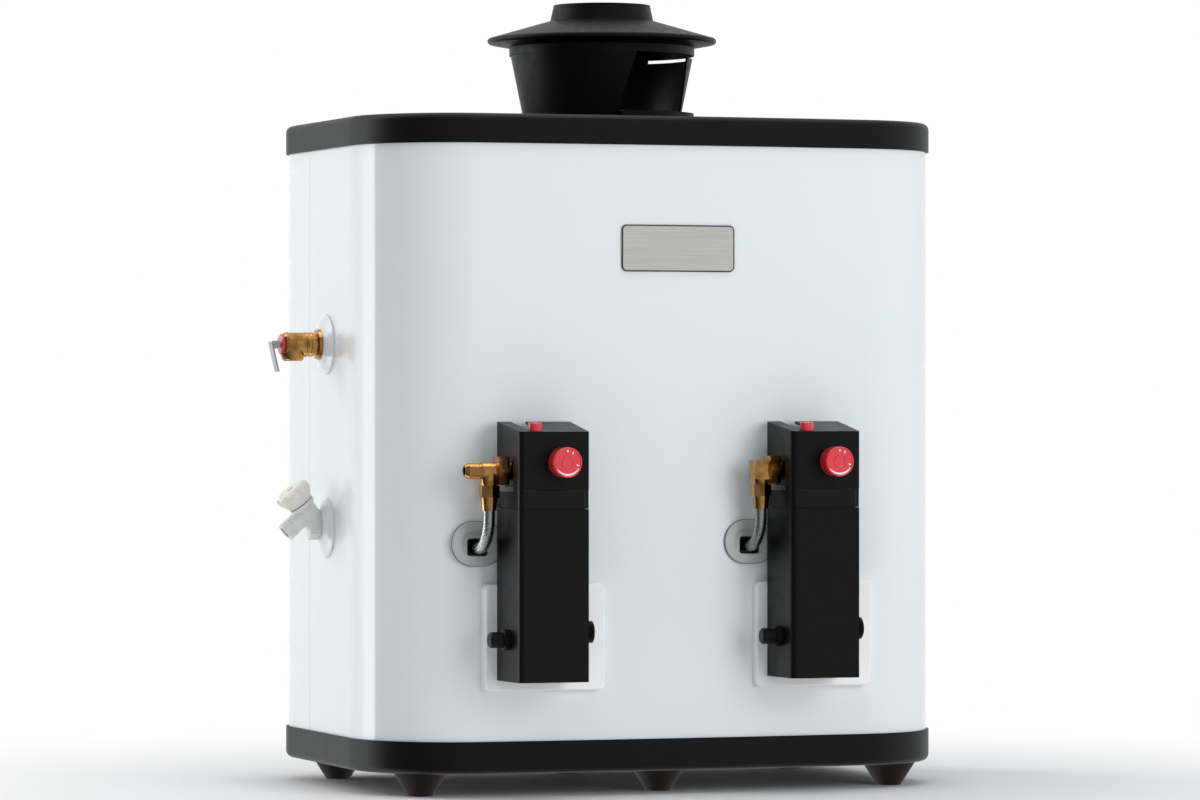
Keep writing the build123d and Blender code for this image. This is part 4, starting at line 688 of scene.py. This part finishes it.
# Temperature knobs: fluted skirt, raised rim, dished face and dial marks with no lettering
KNOB_ASIDE = 0.005
KNOB_Z = 0.349
KNOB_FACE_Y = -0.25602
KNOB_FLUTES = 30
FLUTE_STEPS = 8
KNOB_LEAST_RADIUS = 1e-7
KNOB_SHARP = math.radians(32)
DISH_BEHIND = 0.0009
# Distance behind the face, radius and depth of the flutes there
KNOB_PROFILE = [
    (0.0010, 0.0, 0.0),
    (0.0006, 0.0052, 0.0),
    (0.0002, 0.0057, 0.0),
    (0.0002, 0.0063, 0.0),
    (DISH_BEHIND, 0.0068, 0.0),
    (DISH_BEHIND, 0.0136, 0.0),
    (0.0002, 0.0142, 0.0),
    (0.0, 0.0145, 0.0),
    (0.0001, 0.0148, 0.0),
    (0.0005, 0.0153, 0.0),
    (0.0012, 0.0156, 0.0001),
    (0.0022, 0.0158, 0.0006),
    (0.0170, 0.0158, 0.0006),
    (0.0182, 0.0156, 0.0002),
    (0.0190, 0.0152, 0.0),
    (0.0190, 0.0040, 0.0),
    (0.0354, 0.0040, 0.0),
    (0.0354, 0.0, 0.0),
]
# Dial marks: a dot, two dashes and a crescent, with their turns as clock angles in degrees
MARK_RISE = 0.00025
MARK_SLOPE = 0.0001
MARK_STEP = 4
MARK_LEAST_STEPS = 4
TAPER_END = 0.08
DOT_REACH = 0.0117
DOT_RADIUS = 0.0011
DOT_TOP = 0.85
DOT_SIDES = 20
DASH_RADII = (0.0098, 0.0128)
DASH_TURNS = ((27, 33), (102, 108))
CRESCENT_RADII = (0.0116, 0.0137)
CRESCENT_TURN = (118, 236)


def knob_point(centre, behind, radius, angle):
    """Point behind the knob's face at a clock angle."""
    return (
        centre[0] + radius * math.sin(angle),
        centre[1] + behind,
        centre[2] + radius * math.cos(angle),
    )


def arc_mark(mesh, centre, inner, outer, start, end, taper=False):
    """Raised mark between two radii and two clock angles in degrees."""
    count = max(MARK_LEAST_STEPS, int(abs(end - start) / MARK_STEP))
    rows = []
    for place in range(count + 1):
        share = place / count
        angle = math.radians(start + (end - start) * share)
        near = inner
        if taper:
            inside = min(max(share, TAPER_END), 1 - TAPER_END)
            near = outer - (outer - inner) * math.sin(math.pi * inside) ** 0.5
        top = DISH_BEHIND - MARK_RISE
        rows.append([
            mesh.verts.new(knob_point(centre, DISH_BEHIND, near, angle)),
            mesh.verts.new(knob_point(centre, top, near + MARK_SLOPE, angle)),
            mesh.verts.new(knob_point(centre, top, outer - MARK_SLOPE, angle)),
            mesh.verts.new(knob_point(centre, DISH_BEHIND, outer, angle)),
        ])
    for low, high in zip(rows, rows[1:]):
        for place in range(3):
            mesh.faces.new((low[place], low[place + 1], high[place + 1], high[place]))
    mesh.faces.new(rows[0])
    mesh.faces.new(list(reversed(rows[-1])))


def dot_mark(mesh, centre, reach, radius):
    """Raised dot at twelve o'clock."""
    middle = knob_point(centre, DISH_BEHIND, reach, 0.0)
    rim = []
    top = []
    for angle in full_turn(DOT_SIDES):
        x = radius * math.cos(angle)
        z = radius * math.sin(angle)
        rim.append(mesh.verts.new((middle[0] + x, middle[1], middle[2] + z)))
        top.append(mesh.verts.new((middle[0] + DOT_TOP * x, middle[1] - MARK_RISE, middle[2] + DOT_TOP * z)))
    for turn in range(DOT_SIDES):
        after = (turn + 1) % DOT_SIDES
        mesh.faces.new((rim[turn], rim[after], top[after], top[turn]))
    mesh.faces.new(top)


for side, module_middle in MODULES.items():
    centre = (module_middle - KNOB_ASIDE, KNOB_FACE_Y, KNOB_Z)
    rows = []
    for behind, radius, flute in KNOB_PROFILE:
        row = []
        for angle in full_turn(KNOB_FLUTES * FLUTE_STEPS):
            cut = flute * (0.5 - 0.5 * math.cos(angle * KNOB_FLUTES)) ** 3
            row.append(knob_point(centre, behind, max(radius - cut, KNOB_LEAST_RADIUS), angle))
        rows.append(row)
    knob = grid_piece(f"{side}_knob_detail", rows, MATERIALS["red_plastic"])
    knob.data.set_sharp_from_angle(angle=KNOB_SHARP)
    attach(knob, f"{side}_knob")
    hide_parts(f"{side}_temperature_knob")

    marks = bmesh.new()
    dot_mark(marks, centre, DOT_REACH, DOT_RADIUS)
    for start, end in DASH_TURNS:
        arc_mark(marks, centre, *DASH_RADII, start, end)
    arc_mark(marks, centre, *CRESCENT_RADII, *CRESCENT_TURN, taper=True)
    bmesh.ops.recalc_face_normals(marks, faces=marks.faces)
    dial = mesh_piece(f"{side}_dial_marks", marks, DIAL_WHITE, smooth=False)
    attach(dial, f"{side}_knob")


# Camera at the photograph's angle
TURN = math.radians(19.58)
DISTANCE = 6.117
ASIDE = -0.012
EYE = 0.413
SENSOR_MM = 36.0
LENS_MM = 169.4
CLIP_END = 60.0

ahead = Vector((math.sin(TURN), math.cos(TURN), 0))
right = Vector((math.cos(TURN), -math.sin(TURN), 0))
camera_data = bpy.data.cameras.new("camera")
camera_data.sensor_width = SENSOR_MM
camera_data.lens = LENS_MM
camera_data.clip_end = CLIP_END
camera = bpy.data.objects.new("camera", camera_data)
camera.location = Vector((0, CASING_Y, EYE)) - ahead * DISTANCE + right * ASIDE
camera.rotation_euler = (math.radians(90), 0, -TURN)
scene.collection.objects.link(camera)
scene.camera = camera


# Floor: keeps the shadow near the object and fades into the white background
FLOOR_HALF = 20
FLOOR_COLOR = (0.86, 0.86, 0.86)
# Distances from the object's middle up to which the shadow shows in full, and past which it is gone
SHADOW_KEPT = 0.35
SHADOW_GONE = 1.1


def floor_paint():
    """Matte near the object and glowing white far from it, for the rays that see it."""
    made = Shader("floor_pale", FLOOR_COLOR, 0.8)
    distance = made.node("ShaderNodeVectorMath", operation="LENGTH")
    made.link(made.node("ShaderNodeTexCoord").outputs["Object"], distance.inputs[0])
    fade = made.ramp(distance.outputs["Value"], SHADOW_KEPT, SHADOW_GONE, shape="SMOOTHSTEP")
    rays = made.node("ShaderNodeLightPath")
    seen = made.combine("MAXIMUM", rays.outputs["Is Camera Ray"], rays.outputs["Is Glossy Ray"])
    glow = made.node("ShaderNodeEmission", Strength=1.0)
    surface = made.mix_shaders(made.combine("MULTIPLY", seen, fade), made.base.outputs[0], glow.outputs[0])
    made.link(surface, made.tree.nodes["Material Output"].inputs["Surface"])
    return made.material


floor_corners = [
    (-FLOOR_HALF, -FLOOR_HALF, 0),
    (FLOOR_HALF, -FLOOR_HALF, 0),
    (FLOOR_HALF, FLOOR_HALF, 0),
    (-FLOOR_HALF, FLOOR_HALF, 0),
]
floor_mesh = bpy.data.meshes.new("floor")
floor_mesh.from_pydata(floor_corners, [], [(0, 1, 2, 3)])
floor_mesh.materials.append(floor_paint())
floor = bpy.data.objects.new("floor", floor_mesh)
floor.visible_glossy = False
scene.collection.objects.link(floor)


# World: a plain ambient light, a white background, and a room that only shiny faces mirror
AMBIENT_COLOR = (0.93, 0.96, 1.0, 1)
AMBIENT_LEVEL = 0.42
MIRRORED_COLOR = (0.96, 0.985, 1.0)
# Share of a full turn, from the right by way of the back, and level there: the white background,
# a tall soft lamp at the left with a crisp edge, then a dim room in front
MIRRORED_ROOM = [
    (0.0, 1.0),
    (0.34, 1.0),
    (0.37, 1.6),
    (0.40, 3.6),
    (0.437, 5.0),
    (0.443, 0.05),
    (0.54, 0.08),
    (0.64, 0.25),
    (0.74, 0.5),
    (0.86, 0.62),
    (0.96, 1.0),
    (1.0, 1.0),
]

world = bpy.data.worlds.new("studio")
scene.world = world
world.use_nodes = True
sky = Graph(world.node_tree)
ambient = sky.tree.nodes["Background"]
ambient.inputs["Color"].default_value = AMBIENT_COLOR
ambient.inputs["Strength"].default_value = AMBIENT_LEVEL
backdrop = sky.node("ShaderNodeBackground", Color=(1, 1, 1, 1), Strength=1.0)

heading = sky.node("ShaderNodeSeparateXYZ")
sky.link(sky.node("ShaderNodeTexCoord").outputs["Generated"], heading.inputs[0])
minus_x = sky.combine("MULTIPLY", heading.outputs["X"], -1.0)
minus_y = sky.combine("MULTIPLY", heading.outputs["Y"], -1.0)
azimuth = sky.combine("ARCTAN2", minus_y, minus_x)
walls = sky.node("ShaderNodeValToRGB")
sky.link(sky.ramp(azimuth, -math.pi, math.pi), walls.inputs[0])
for place, level in MIRRORED_ROOM[1:-1]:
    walls.color_ramp.elements.new(place)
for stop, (place, level) in zip(walls.color_ramp.elements, MIRRORED_ROOM):
    stop.position = place
    stop.color = (*(level * part for part in MIRRORED_COLOR), 1)
mirrored = sky.node("ShaderNodeBackground")
sky.link(walls.outputs["Color"], mirrored.inputs["Color"])

rays = sky.node("ShaderNodeLightPath")
direct = sky.combine("MAXIMUM", rays.outputs["Is Camera Ray"], rays.outputs["Is Transmission Ray"])
light = sky.mix_shaders(rays.outputs["Is Glossy Ray"], ambient.outputs[0], mirrored.outputs[0])
surroundings = sky.mix_shaders(direct, light, backdrop.outputs[0])
sky.link(surroundings, sky.tree.nodes["World Output"].inputs["Surface"])


# Lamps
def lamp(name, place, target, size, power, color=(1, 1, 1), mirrored_in_gloss=False):
    """Soft rectangular lamp that points at a target; its power is in watts."""
    data = bpy.data.lights.new(name, "AREA")
    data.shape = "RECTANGLE"
    data.size, data.size_y = size
    data.energy = power
    data.color = color
    made = bpy.data.objects.new(name, data)
    made.location = place
    aim = Vector(target) - Vector(place)
    made.rotation_euler = aim.to_track_quat("-Z", "Y").to_euler()
    made.visible_glossy = mirrored_in_gloss
    scene.collection.objects.link(made)


lamp("key", (-2.3, 2.3, 1.3), (-0.2, 0.1, 0.45), (1.4, 2.0), 57, color=(1.0, 0.975, 0.95))
lamp("front", (1.2, -3.2, 1.0), (0.0, 0.0, 0.4), (2.0, 1.8), 47, color=(0.95, 0.98, 1.0))
lamp("top", (0.0, -0.4, 3.0), (0.0, 0.0, 0.3), (2.4, 2.0), 26, mirrored_in_gloss=True)
lamp("back", (1.2, 2.6, 2.0), (0.0, 0.0, 0.5), (2.0, 1.6), 6)

scene.view_settings.view_transform = "Standard"
